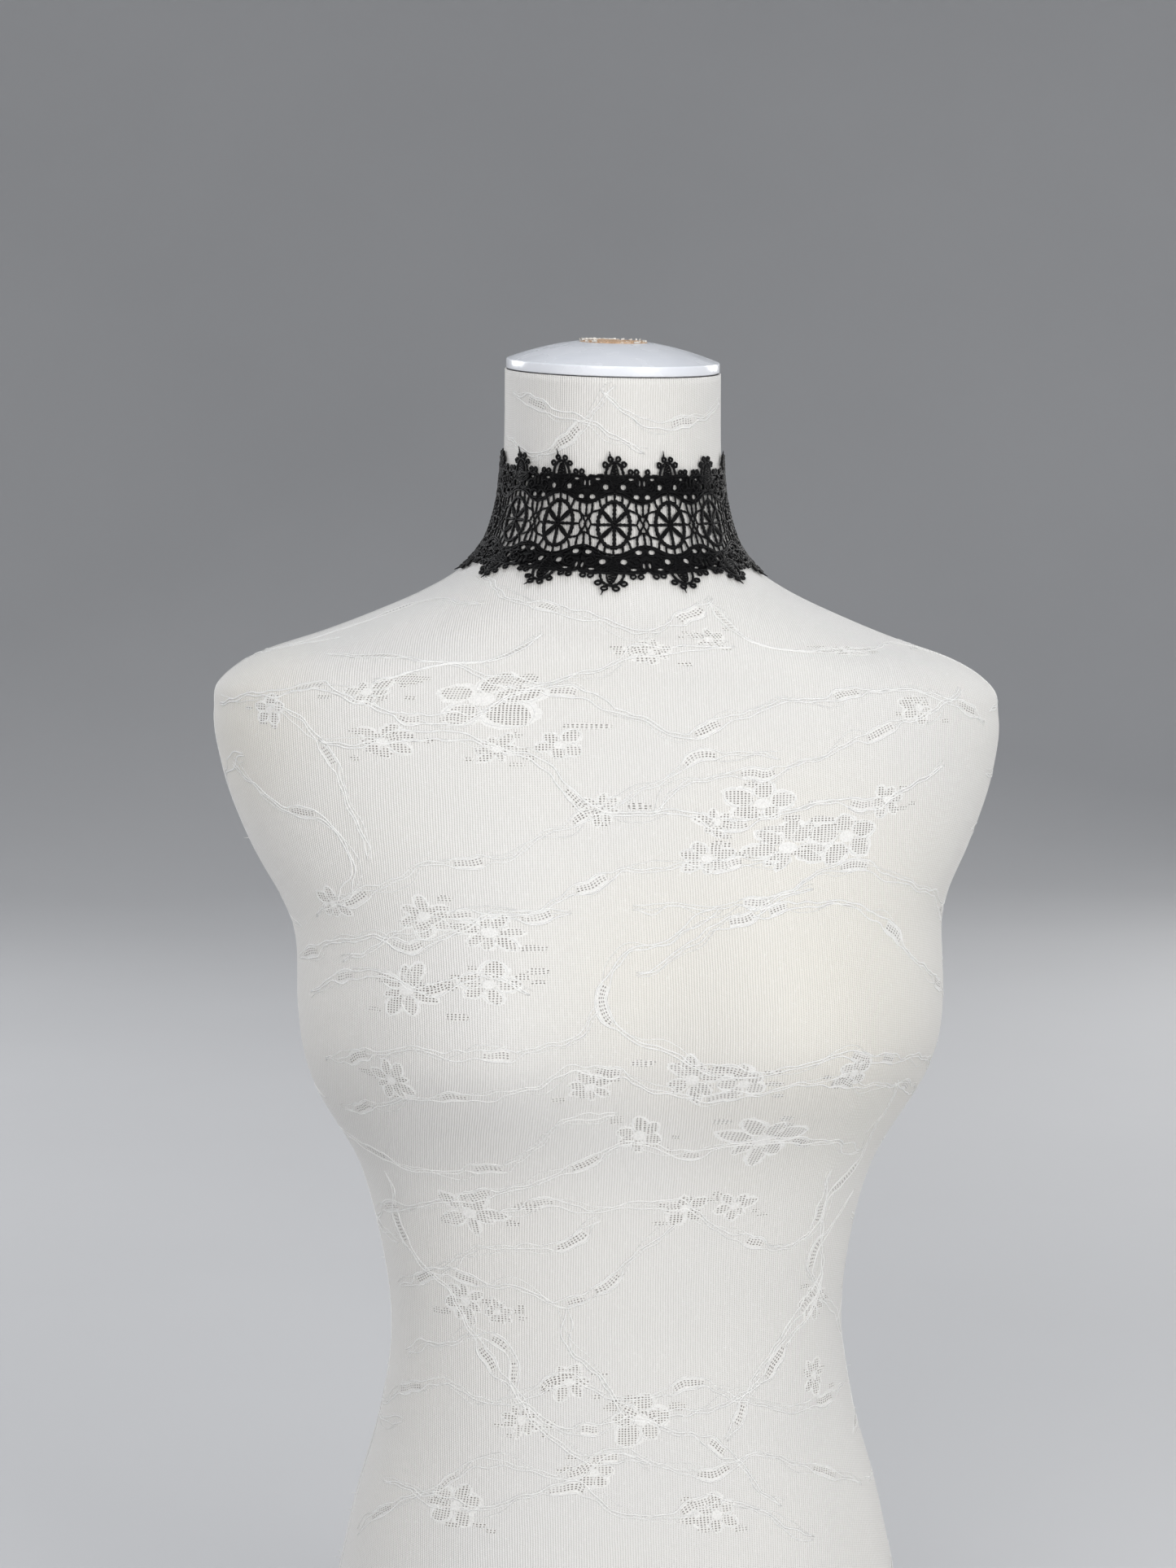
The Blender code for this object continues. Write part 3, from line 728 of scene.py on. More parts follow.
def mesh_cords(sides=(-1, 1)):
    """The mesh between two wheels, or at an end of the lace one side of it."""
    made = []
    for side in sides:
        for up in (-1, 1):
            made += flipped(mesh_quarter(), side, up)
        made.append(cord([((MESH_SIDE - 0.2) * side, 0), ((MESH_RING + 0.4) * side, 0)], 1.1, 0.5))
    if len(sides) == 2:
        for up in (-1, 1):
            made.append(cord([(0, 10.6 * up), (0.1, 7.0 * up), (0, 3.9 * up)], 1.15, 0.5))
            made.append(cord(oval(0, 3.95 * up, 0.3, 0.3, 6), 0.7, 0.7, True, 0.1))
        made.append(cord(oval(0, 0, 0.42, 0.42, 6), 0.9, 0.6, True, 0.1))
    return made


def polar(u, v, wide, high, angle):
    return u + wide * math.cos(angle), v + high * math.sin(angle)


def border_half(missing=()):
    """Cords of the border over half a repeat, on the side of positive u."""
    inner_edge = [
        (0, 16.2), (2.6, 15.6), (5.0, 15.1), (7.6, 14.8), (9.0, 13.9), (10.6, 14.9), (12.2, 14.5),
        (HALF, 12.7),
    ]
    made = [
        cord([(x, y + 0.62) for x, y in SCALLOP], 1.0, 0.62, relief=0.2),
        cord([(x, y - 0.42) for x, y in SCALLOP], 1.05, 0.66, relief=0.2),
        cord(EDGE, 1.15, 0.62, relief=0.2),
        cord(inner_edge, 0.95, 0.6, relief=0.2),
        cord([(8.4, 11.9), (8.7, 13.4), (8.2, 14.6)], 0.9, 0.55),
        cord([(HALF, 17.2), (HALF - 0.15, 19.2), (HALF, 21.4)], 0.9, 0.55),
        cord([(HALF - 2.3, 17.4), (HALF - 2.1, 19.2), (HALF - 2.4, 21.2)], 0.9, 0.6),
        cord([(HALF, 16.6), (HALF - 1.3, 17.1), (HALF - 2.6, 16.9)], 0.85, 0.6),
        cord(oval(4.3, 17.35, 1.85, 1.8, 10), 0.85, 0.62, True, 0.15),
    ]
    spiral = []
    for k in range(22):
        reach = 0.55 + 2.75 * k / 21
        spiral.append(polar(*SPIRAL, reach, reach * 0.95, 2 * math.pi * k / 12 + 0.6))
    made.append(cord(spiral, 0.85, 0.72, relief=0.2))
    for k in range(5):
        a = 2 * math.pi * (k + 0.3) / 5
        ray = [polar(*SPIRAL, *size) for size in ((1.1, 1.1, a), (2.2, 2.2, a + 0.5), (3.4, 3.2, a + 0.7))]
        made.append(cord(ray, 0.75, 0.68))
    made += leaf((0.6, 18.3), (6.6, 21.6), 1.0, 0.85)
    made.append(cord([(1.0, 20.9), (3.2, 21.7), (5.6, 22.0)], 0.8, 0.6))
    made.append(cord([(6.2, 15.4), (6.0, 17.6), (6.9, 19.6)], 0.8, 0.6))
    for u in (7.8, 10.7):
        if u not in missing:
            made.append(cord(oval(u, 24.15, 0.95, 0.98, 9), 1.05, 0.62, True, 0.18))
    return made


def crown_cords():
    """The pointed crown over the wheel: a filled leaf, an arch and four picots."""
    made = satin((0, 16.0), (0, 27.6), 1.75)
    made += leaf((0, 15.8), (0, 27.9), 2.1, 0.85, vein=False)
    made.append(cord(oval(0, 21.6, 4.5, 7.15, 13, -0.03, 0.53), 1.3, 0.62, relief=0.2))
    for u, v in ((4.55, 27.6), (-4.55, 27.6), (1.85, 30.1), (-1.95, 30.2)):
        made.append(cord(oval(u, v, 0.98, 1.0, 9), 1.1, 0.66, True, 0.18))
    return made


def end_cord(side):
    """The cord that binds an end of the lace."""
    return cord([(side * (HALF - 0.5), v) for v in (-21.4, -10, 0, 10, 21.4)], 1.2, 0.6)


def height_of(outline, u):
    return float(np.interp(abs(u), *zip(*outline)))


def in_gap(u, v):
    """Whether a place on the border's ground is in or near one of its gaps."""
    return any(((abs(u) - a) / (w + 0.4)) ** 2 + ((v - b) / (t + 0.4)) ** 2 < 1 for a, b, w, t in BORDER_GAPS)


def border_ground(first, count, up):
    """Flat points and faces of the plain ground under the border's cords, with its gaps left out."""
    low, high, gaps, inner = [], [], [], []
    for k in range(count):
        middle = (first + k) * 2 * HALF
        for u in np.linspace(-HALF, HALF, 19)[:-1]:
            low.append((middle + u, height_of(SCALLOP, u)))
            high.append((middle + u, height_of(EDGE, u)))
        for side in (-1, 1):
            gaps += [oval(middle + u * side, v, wide, tall, 10) for u, v, wide, tall in BORDER_GAPS]
        for u in np.arange(-HALF + 0.6, HALF, GROUND_STEP):
            for v in np.arange(12.0, 22, GROUND_STEP):
                if height_of(SCALLOP, u) + 0.6 <= v <= 20.9 and not in_gap(u, v):
                    inner.append((middle + u + rng.uniform(-0.2, 0.2), v + rng.uniform(-0.2, 0.2)))
    start, end = (first - 0.5) * 2 * HALF, (first + count - 0.5) * 2 * HALF
    outline = low + [(end, SCALLOP[-1][1]), (end, EDGE[-1][1])] + high[::-1]
    # A gap that reaches past an end of the run is left to the next run.
    gaps = [g for g in gaps if min(p[0] for p in g) > start + 0.05 and max(p[0] for p in g) < end - 0.05]
    loops, points = [], []
    for loop in (outline, *gaps):
        loops.append(list(range(len(points), len(points) + len(loop))))
        points += [Vector(p) for p in loop]
    points += [Vector(p) for p in inner]
    found, _, faces, *_ = delaunay_2d_cdt(points, [], loops, 2, 1e-6)
    flat = np.array([(p.x, p.y) for p in found])
    faces = np.array([tuple(f) for f in faces if len(f) == 3])
    if up < 0:
        flat[:, 1] *= -1
        faces = faces[:, ::-1]
    return flat, faces


def add_ground(pile, flat, faces):
    """The ground as a thin sheet of two sides, a little uneven. The strip that joins the sides is
    numbered from the pile's start, so only the first ground of a pile gets one."""
    count = len(flat)
    wobble = rng.uniform(-0.09, 0.09, count)
    near, _ = wrap(*(flat * MM).T, np.full(count, 0.80) * MM)
    far, _ = wrap(*(flat * MM).T, (1.15 + wobble) * MM)
    edges = {}
    for t in faces:
        for a, b in zip(t, (t[1], t[2], t[0])):
            edges[(a, b)] = True
    rim = np.array([(a, b, b + count, a + count) for a, b in edges if (b, a) not in edges])
    uv = np.concatenate([flat, flat]) * MM
    both = np.concatenate([faces[:, ::-1], faces + count])
    pile.add(np.concatenate([near, far]), both, uv[both])
    pile.close(rim, uv[rim])


def add_cords(pile, items, middle):
    """Cords drawn about a wheel or mesh whose middle is at this u, swept on the neck."""
    for c in items:
        line = curve_through(c.points, c.closed, CORD_STEP)
        drift = rng.uniform(-0.13, 0.13, 4)
        swing = np.sin(2 * math.pi * np.linspace(0, 1, len(line)))
        line = line + np.stack([drift[0] + drift[1] * swing, drift[2] + drift[3] * swing], -1)
        lift = 1.38 + rng.uniform(-0.06, 0.1)
        at, normals = wrap((line[:, 0] + middle) * MM, line[:, 1] * MM, lift * MM)
        wide = c.wide / 2 * MM * (1 + rng.uniform(-0.05, 0.05))
        sweep(pile, at, normals, wide, c.high * MM, c.closed, CORD_SIDES, c.relief)


def add_tail(pile, u, v, up, long, lean):
    """A clipped thread end that stands on from a picot."""
    line = [(u, v), (u + lean * 0.3, v + up * long * 0.5), (u + lean, v + up * long)]
    flat = curve_through(line, False, 0.35) * MM
    at, normals = wrap(*flat.T, np.linspace(1.4, 1.9, len(flat)) * MM)
    wide = np.linspace(0.5, 0.16, len(flat)) * MM
    sweep(pile, at, normals, wide, wide, False, 6, 0.15, 1.2 * MM, taper=0.5)


def lace_piece(name, node, first, count, thread):
    """A run of repeats, from wheel number first: the net, and the cords that stand up on it."""
    net, raised = Pile(), Pile()
    for up in (-1, 1):
        add_ground(net, *border_ground(first, count, up))
    for k in range(first, first + count):
        middle = k * 2 * HALF
        add_cords(net, wheel_cords(), middle)
        for up in (-1, 1):
            add_cords(raised, flipped(crown_cords(), 1, up), middle)
            for side in (-1, 1):
                missing = MISSING_PICOTS.get((k, up, side), ())
                add_cords(raised, flipped(border_half(missing), side, up), middle)
            if rng.random() < 0.8 or k in (0, 1, -1):
                side = -1 if rng.random() < 0.8 or k in (0, 1, -1) else 1
                add_tail(raised, middle + side * 2.2, 30.9 * up, up, rng.uniform(2.2, 3.6), side * 0.4)
        last = k == REPEATS // 2
        add_cords(net, mesh_cords((-1,) if last else (-1, 1)), (k + 0.5) * 2 * HALF)
        if last:
            add_cords(net, [end_cord(1)], middle)
    if first == -(REPEATS // 2):
        add_cords(net, mesh_cords((1,)), (first - 0.5) * 2 * HALF)
        add_cords(net, [end_cord(-1)], first * 2 * HALF)
    piece, cords = net.build(name, [thread]), raised.build(name + "_cords", [thread])
    for made in (piece, cords):
        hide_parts(node)


def build_lace():
    thread = thread_material()
    for name, node, first, count in (
        ("lace_left_back", "lace_left", -6, 3), ("lace_left_front", "lace_left", -3, 3),
        ("lace_right_front", "lace_right", 0, 4), ("lace_right_back", "lace_right", 4, 3),
    ):
        lace_piece(name, node, first, count, thread)


# Closure


def build_tape(name, start, end, cloth):
    """A tape folded in two round the lace's end, with ribs across it. The fold is at end."""
    wall = 0.35 * MM
    toward = 1 if end > start else -1
    bend = TAPE_WALL / 2 - wall
    hinge = end - toward * (bend + wall)
    near, far = LACE_CLEAR + wall, LACE_CLEAR + TAPE_WALL - wall
    fold = [
        (hinge + toward * bend * math.sin(a), (near + far) / 2 + bend * math.cos(a))
        for a in np.linspace(0, math.pi, 7)[1:-1]
    ]
    out = [(u, far) for u in np.linspace(start, hinge, 9)]
    middle = np.array(out + fold + [(u, near) for u in np.linspace(hinge, start, 9)])
    ahead = unit(np.gradient(middle, axis=0))
    aside = np.stack([-ahead[:, 1], ahead[:, 0]], -1)
    rows = np.linspace(-TAPE_HALF_HIGH, TAPE_HALF_HIGH, 150)
    rib = wall * (1 + 0.16 * np.sin(rows / (1.15 * MM) * 2 * math.pi))[None, :, None]
    middle, aside = middle[:, None, :], aside[:, None, :]
    section = np.concatenate([middle + aside * rib, (middle - aside * rib)[::-1]])  # points round it, by rows
    u, out = section[..., 0].T, section[..., 1].T
    v = np.broadcast_to(rows[:, None], u.shape) + rng.normal(0, 0.02 * MM, u.shape)
    run = walked(np.concatenate([section[:, 0], section[:1, 0]]))
    pile = Pile()
    pile.grid(wrap(u, v, out)[0], True, pairs(run, rows[:, None]), flip=toward > 0)
    count = u.shape[1]
    # The open ends of the wall, as a strip of four-sided faces between its two sides.
    for base, turned in ((0, toward > 0), ((len(rows) - 1) * count, toward < 0)):
        j = np.arange(count // 2 - 1)
        strip = base + np.stack([j, j + 1, count - 2 - j, count - 1 - j], -1)
        pile.close(strip if turned else strip[:, ::-1])
    piece = pile.build(name + "_woven", [cloth])
    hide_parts(name)


def thread_on_tape(pile, points, wide=0.17 * MM, slot=0):
    """A thin thread or wire through places given as u, v and distance from the form."""
    u, v, out = curve_through(points, False, 0.25 * MM).T
    # A place past the nape comes back at the other end of the lace.
    at, normals = wrap(np.where(u > ROUND_IT / 2, u - ROUND_IT, u), v, out)
    sweep(pile, at, normals, wide, wide, False, 6, slot=slot, taper=0.7)


def sew_loop(pile, u, v, top):
    """The small loop that a leg of a hook or eye ends in, sewn down with four stitches."""
    angles = np.linspace(0, 2 * math.pi * 0.97, 14)
    loop = [(*polar(u, v, 0.75 * MM, 0.75 * MM, a), top + 0.62 * MM) for a in angles]
    thread_on_tape(pile, loop, 0.3 * MM, slot=1)
    for k in range(4):
        a = math.pi * (0.25 + 0.5 * k)
        (u1, v1), (u2, v2) = (polar(u, v, reach * MM, reach * MM, a) for reach in (0.3, 1.35))
        steps = ((0, 0), (1 / 3, 1.12), (2 / 3, 1.12), (1, 0))
        arch = [(u1 + (u2 - u1) * s, v1 + (v2 - v1) * s, top + rise * MM) for s, rise in steps]
        thread_on_tape(pile, arch)


def build_closure():
    cloth, wire, thread = tape_material(), wire_material(), bpy.data.materials["lace_thread"]
    start = REPEATS * PITCH / 2 + SEAM
    build_tape("tape_right", start, start + TAPE_WIDE, cloth)
    build_tape("tape_left", -start, -start - TAPE_WIDE, cloth)
    top = LACE_CLEAR + TAPE_WALL
    pile = Pile()
    for level in HOOK_LEVELS:
        for toward, reach, spread in ((-1, HOOK_LEG, 0.9 * MM), (1, EYE_LEG, EYE_HALF_WIDE)):
            for up in (-1, 1):
                u = ROUND_IT / 2 + toward * (reach + 0.5 * MM)
                sew_loop(pile, u, level + up * (spread + 0.35 * MM), top)
    # A row of running stitches holds each tape on the lace.
    for side in (-1, 1):
        u = side * (start + 0.9 * MM)
        for k in range(22):
            v = -TAPE_HALF_HIGH + (1.2 + 2.0 * k) * MM
            steps = ((0, -0.1), (0.5, 0.22), (1.2, 0.22), (1.6, -0.1))
            thread_on_tape(pile, [(u, v + on * MM, top + rise * MM) for on, rise in steps])
    piece = pile.build("closure_stitches", [thread, wire])
    for name in ("hook_1", "hook_2", "hook_3", "eye_1", "eye_2", "eye_3"):
        paint(name, wire)


def paint(node, material):
    """Gives a node of the frame a material."""
    for slot in bpy.data.objects[node].material_slots:
        slot.material = material


# Cover of the form

COVER_COLUMNS, COVER_WALL = 216, 1.0 * MM
COVER_LEVELS = np.concatenate([
    np.linspace(0.003, 0.53, 150, endpoint=False), np.linspace(0.53, 0.63, 62, endpoint=False),
    np.linspace(0.63, 0.697, 22),
])
INNER_LEVELS = np.concatenate([
    np.linspace(0.697, 0.63, 6, endpoint=False), np.linspace(0.63, 0.53, 20, endpoint=False),
    np.linspace(0.53, 0.006, 26),
])
# Rings on the underside, by their share of the form's lower edge and their height in millimetres.
HEM_EDGE = 1 - 0.003 / FORM[0][1]
HEM = ((HEM_EDGE, 0.25), (0.985 * HEM_EDGE, 0), (0.85, 0), (0.845, 0.8), (0.97, 1.3))
BOARD = ((0.955, 7), (0.958, 2.0), (0.955, 1.5), (0.6, 1.45), (0.2, 1.45), (0.02, 1.45))
# Radians are taken as metres by TURN_SIZE where a path is evened. Stems have a window of openwork
# where their threads are WINDOW_WIDE apart.
TURN_SIZE, SURFACE_STEP, WINDOW_WIDE, FLOWER_LENSES = 0.12, 1e-3, 1.9 * MM, 5


def build_cover(knit):
    """The knitted cover, a thin closed wall whose lower edge is turned in under the form."""
    turns = np.linspace(0, 2 * math.pi, COVER_COLUMNS + 1)
    pile = Pile()
    outer = form_points(turns[None, :-1], COVER_LEVELS[:, None])
    # UVs: across is the way round from the nearer of front and back, up is the way up the front.
    fine = form_points(turns[None, :], COVER_LEVELS[:, None])
    walk = walked(fine, axis=1)
    quarter, half = COVER_COLUMNS // 4, COVER_COLUMNS // 2
    across = walk - walk[:, half : half + 1]
    across[:, : quarter + 1] = walk[:, : quarter + 1]
    across[:, 3 * quarter :] = walk[:, 3 * quarter :] - walk[:, -1:]
    uv = np.stack([across, walked(fine)], -1)
    pile.grid(outer, True, uv)
    bottom = form_points(turns[:-1], 0.0)
    inner = [on_form(turns[:-1], level, -COVER_WALL)[0] for level in INNER_LEVELS[::-1]]
    hem = [bottom * (share, share, 0) + (0, 0, rise * MM) for share, rise in HEM]
    along = np.cumsum([0, 3, 1, 20, 1, 18, *[10] * len(inner)]) * MM
    pile.grid(np.stack([outer[0], *hem, *inner]), True, pairs(uv[0, :, 0], -along[:, None]), flip=True)
    # The upper edge, between the outer and the inner side.
    pile.grid(np.stack([outer[-1], inner[-1]]), True, np.stack([uv[-1], uv[-1] + (0, COVER_WALL)]))
    piece = pile.build("form_cover", [knit])
    weld(piece)
    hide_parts("form_torso")
    rings = np.stack([bottom * (share, share, 0) + (0, 0, rise * MM) for share, rise in BOARD])
    board = solid_of_rings(rings, uv[0, :, 0], np.linspace(0, 0.1, len(rings)), flip=True)
    plate = board.build("form_board", [board_material()])


def weld(obj):
    """Join points that lie on each other where one grid meets the next."""
    body = bmesh.new()
    body.from_mesh(obj.data)
    bmesh.ops.remove_doubles(body, verts=body.verts, dist=1e-6)
    body.to_mesh(obj.data)
    body.free()


def locate(camera, pixels):
    """Turn and section of the places on the front of the form that lie at these pixels."""
    turns, levels = np.radians(np.arange(-100, 90, 0.5)), np.arange(0.02, 0.694, 0.002)
    turns, levels = np.meshgrid(turns, levels, indexing="ij")
    points = form_points(turns, levels)
    away = np.array(camera.matrix_world.translation) - points
    seen = in_picture(camera, points)
    seen[np.sum(form_normals(turns, levels) * away, -1) <= 0] = 1e6  # on the far side
    nearest = [np.argmin(np.sum((seen.reshape(-1, 2) - pixel) ** 2, 1)) for pixel in pixels]
    return np.column_stack([turns.reshape(-1)[nearest], levels.reshape(-1)[nearest]])


def even_path(path, step, least, more=0):
    """The path through places given as turn and section, with even steps on the form and at least so
    many places, and how far along it each one is."""
    fine = curve_through(path * (TURN_SIZE, 1), False, 1 * MM) / (TURN_SIZE, 1)
    run = walked(form_points(*fine.T))
    even = np.linspace(0, run[-1], max(least, int(run[-1] / step) + more))
    return np.column_stack([np.interp(even, run, fine[:, k]) for k in (0, 1)]), even


def lay_line(pile, path, wide, high, sides=4, step=2.2 * MM, lift=0.05 * MM):
    """A thread on the cover through places given as turn and section."""
    line, normals = on_form(*even_path(path, step, 3, 1)[0].T, lift)
    sweep(pile, line, normals, wide, high, False, sides, 0.12, 3.2 * MM, taper=0.4)


def shifted(path, aside):
    """A line beside another one, by a distance in metres at each of its places."""
    turn, level = path.T
    at = form_points(turn, level)
    across = unit(np.cross(form_normals(turn, level), unit(np.gradient(at, axis=0))))
    move = across * np.asarray(aside)[:, None]
    by_turn = (form_points(turn + SURFACE_STEP, level) - at) / SURFACE_STEP
    by_level = (form_points(turn, level + SURFACE_STEP) - at) / SURFACE_STEP
    return path + np.column_stack([np.sum(move * by, -1) / np.sum(by**2, -1) for by in (by_turn, by_level)])


def waves(run, local, sizes, periods):
    """A sum of sines along a way, in metres."""
    total = 0
    for size, period in zip(sizes, periods):
        turns = run / (period * local.uniform(0.8, 1.25)) + local.random()
        total = total + size * np.sin(2 * math.pi * turns)
    return total


def add_vine(pile, path, seed):
    """A stem: two thin raised threads that part and meet over the knit, a third that wanders about
    them, and close stitches round small windows of openwork where the two are far apart."""
    local = np.random.default_rng(seed)
    path, run = even_path(path, 3 * MM, 4)
    path = shifted(path, waves(run, local, (1.6 * MM, 0.8 * MM, 0.35 * MM), (0.075, 0.031, 0.013)))
    apart = (0.7 + 2.2 * np.clip(waves(run, local, (1.0, 0.5), (0.060, 0.027)), 0, 1)) * MM
    ends = ease(run, 0, 0.012) * (1 - ease(run, run[-1] - 0.012, run[-1]))
    apart = apart * (0.3 + 0.7 * ends)
    sides = [shifted(path, apart * s + waves(run, local, (0.3 * MM,), (0.011,))) for s in (-1, 1)]
    for line in sides:
        lay_line(pile, line, local.uniform(0.3, 0.44) * MM, 0.17 * MM)
    aside = waves(run, local, (3.2 * MM, 1.5 * MM), (0.085, 0.036))
    lay_line(pile, shifted(path, aside), 0.26 * MM, 0.14 * MM, sides=3, step=3 * MM)
    share = np.linspace(0, 1, 4)[:, None, None]
    windows = np.flatnonzero(apart > WINDOW_WIDE)
    for group in np.split(windows, np.flatnonzero(np.diff(windows) > 1) + 1):
        if len(group) > 3:
            for edge, lift, slot in ((0.05, 0.05 * MM, 2), (0.24, 0.12 * MM, 1)):
                across = edge + (1 - 2 * edge) * share
                band = sides[0][None, group] * (1 - across) + sides[1][None, group] * across
                lay_band(pile, band, run[group], apart[group] * (1 - 2 * edge), lift, slot)


def lay_band(pile, band, run, apart, lift, slot):
    """A thin strip on the cover: rows of places along a stem."""
    points, _ = on_form(band[..., 0], band[..., 1], lift)
    across = np.linspace(-1, 1, band.shape[0])[:, None] * apart
    pile.grid(points, False, pairs(run, across), slot, flip=True)


def petal_outline(long, wide, bend):
    """A petal from near the origin out along +x, in metres, bent to one side."""
    t = np.linspace(0, 1, 9)
    x = long * (0.2 + 0.8 * t)
    y = wide * np.sin(math.pi * t**0.85) ** 0.6
    sag = bend * long * t**2
    return np.concatenate([np.column_stack([x, y + sag]), np.column_stack([x, sag - y])[::-1][1:-1]])


def on_cover(centre, local):
    """Turn and section of places given in metres about a centre: across, up."""
    turn, level = centre
    here = form_points(turn, level)
    by_turn = np.linalg.norm(form_points(turn + SURFACE_STEP, level) - here) / SURFACE_STEP
    by_level = np.linalg.norm(form_points(turn, level + SURFACE_STEP) - here) / SURFACE_STEP
    return np.column_stack([turn + local[:, 0] / by_turn, level + local[:, 1] / by_level])


def turned(points, angle, stretch):
    """Flat points turned by an angle, then stretched sideways."""
    c, s = math.cos(angle), math.sin(angle)
    x, y = points.T
    return np.column_stack([(x * c - y * s) * stretch, x * s + y * c])


def add_flower(pile, centre, size, stretch, spin, petals, seed):
    """A flower of openwork petals in a field of close stitches, edged by low threads."""
    local = np.random.default_rng(seed)
    for k in range(petals):
        a = spin + 2 * math.pi * k / petals + local.uniform(-0.2, 0.2)
        long = size * local.uniform(0.75, 1.15)
        wide = long * local.uniform(0.8, 1.2) * 1.45 / petals
        bend = local.uniform(-0.12, 0.12)
        field = petal_outline(long * 1.14, wide * 1.6, bend)
        field += local.uniform(-0.04, 0.04, field.shape) * long
        add_patch(pile, centre, turned(field, a, stretch), 0.05 * MM, 2)
        window = petal_outline(long, wide, bend) + (0.06 * long, 0)
        add_patch(pile, centre, turned(window, a, stretch), 0.10 * MM, 1)
        if local.random() < 0.75:
            edge = turned(petal_outline(long * 1.08, wide * 1.32, bend), a, stretch)
            lay_line(pile, on_cover(centre, edge), 0.24 * MM, 0.12 * MM)
    at = np.linspace(0, 2 * math.pi, 13)[:-1]
    disc = np.column_stack([np.cos(at), np.sin(at)]) * size * 0.24
    add_patch(pile, centre, disc * (stretch, 1), 0.12 * MM, 2)
    # Lenses of openwork drawn out sideways about the flower.
    for _ in range(FLOWER_LENSES):
        long, tall = size * local.uniform(0.35, 0.8) * stretch, size * local.uniform(0.10, 0.2)
        lens = np.column_stack([np.cos(at) * long * 0.5, np.sin(at) * tall + 0.12 * tall * np.cos(3 * at)])
        lens += (local.uniform(-2.4, 2.4) * size * stretch * 0.75, local.uniform(-1.0, 1.0) * size)
        add_patch(pile, centre, lens, 0.07 * MM, 1)


def add_patch(pile, centre, outline, lift, slot):
    """A thin patch on the cover inside an outline about a centre."""
    middle = outline.mean(0)
    local = np.stack([middle + (outline - middle) * s for s in (0.02, 0.6, 1.0)])
    points, normals = on_form(*on_cover(centre, local.reshape(-1, 2)).T, lift)
    points, normals = points.reshape(*local.shape[:2], 3), normals.reshape(*local.shape[:2], 3)
    edge = points[-1] - normals[-1] * (lift + 0.3 * MM)
    uv = np.concatenate([local, local[:, :1]], axis=1)
    x, y = outline.T
    flip = np.sum(x * np.roll(y, -1) - np.roll(x, -1) * y) > 0
    pile.grid(points, True, uv, slot, flip)
    # The wall round it has points of its own, so the patch is shaded flat up to its edge.
    pile.grid(np.stack([points[-1], edge]), True, uv[[-1, -1]], slot, flip)


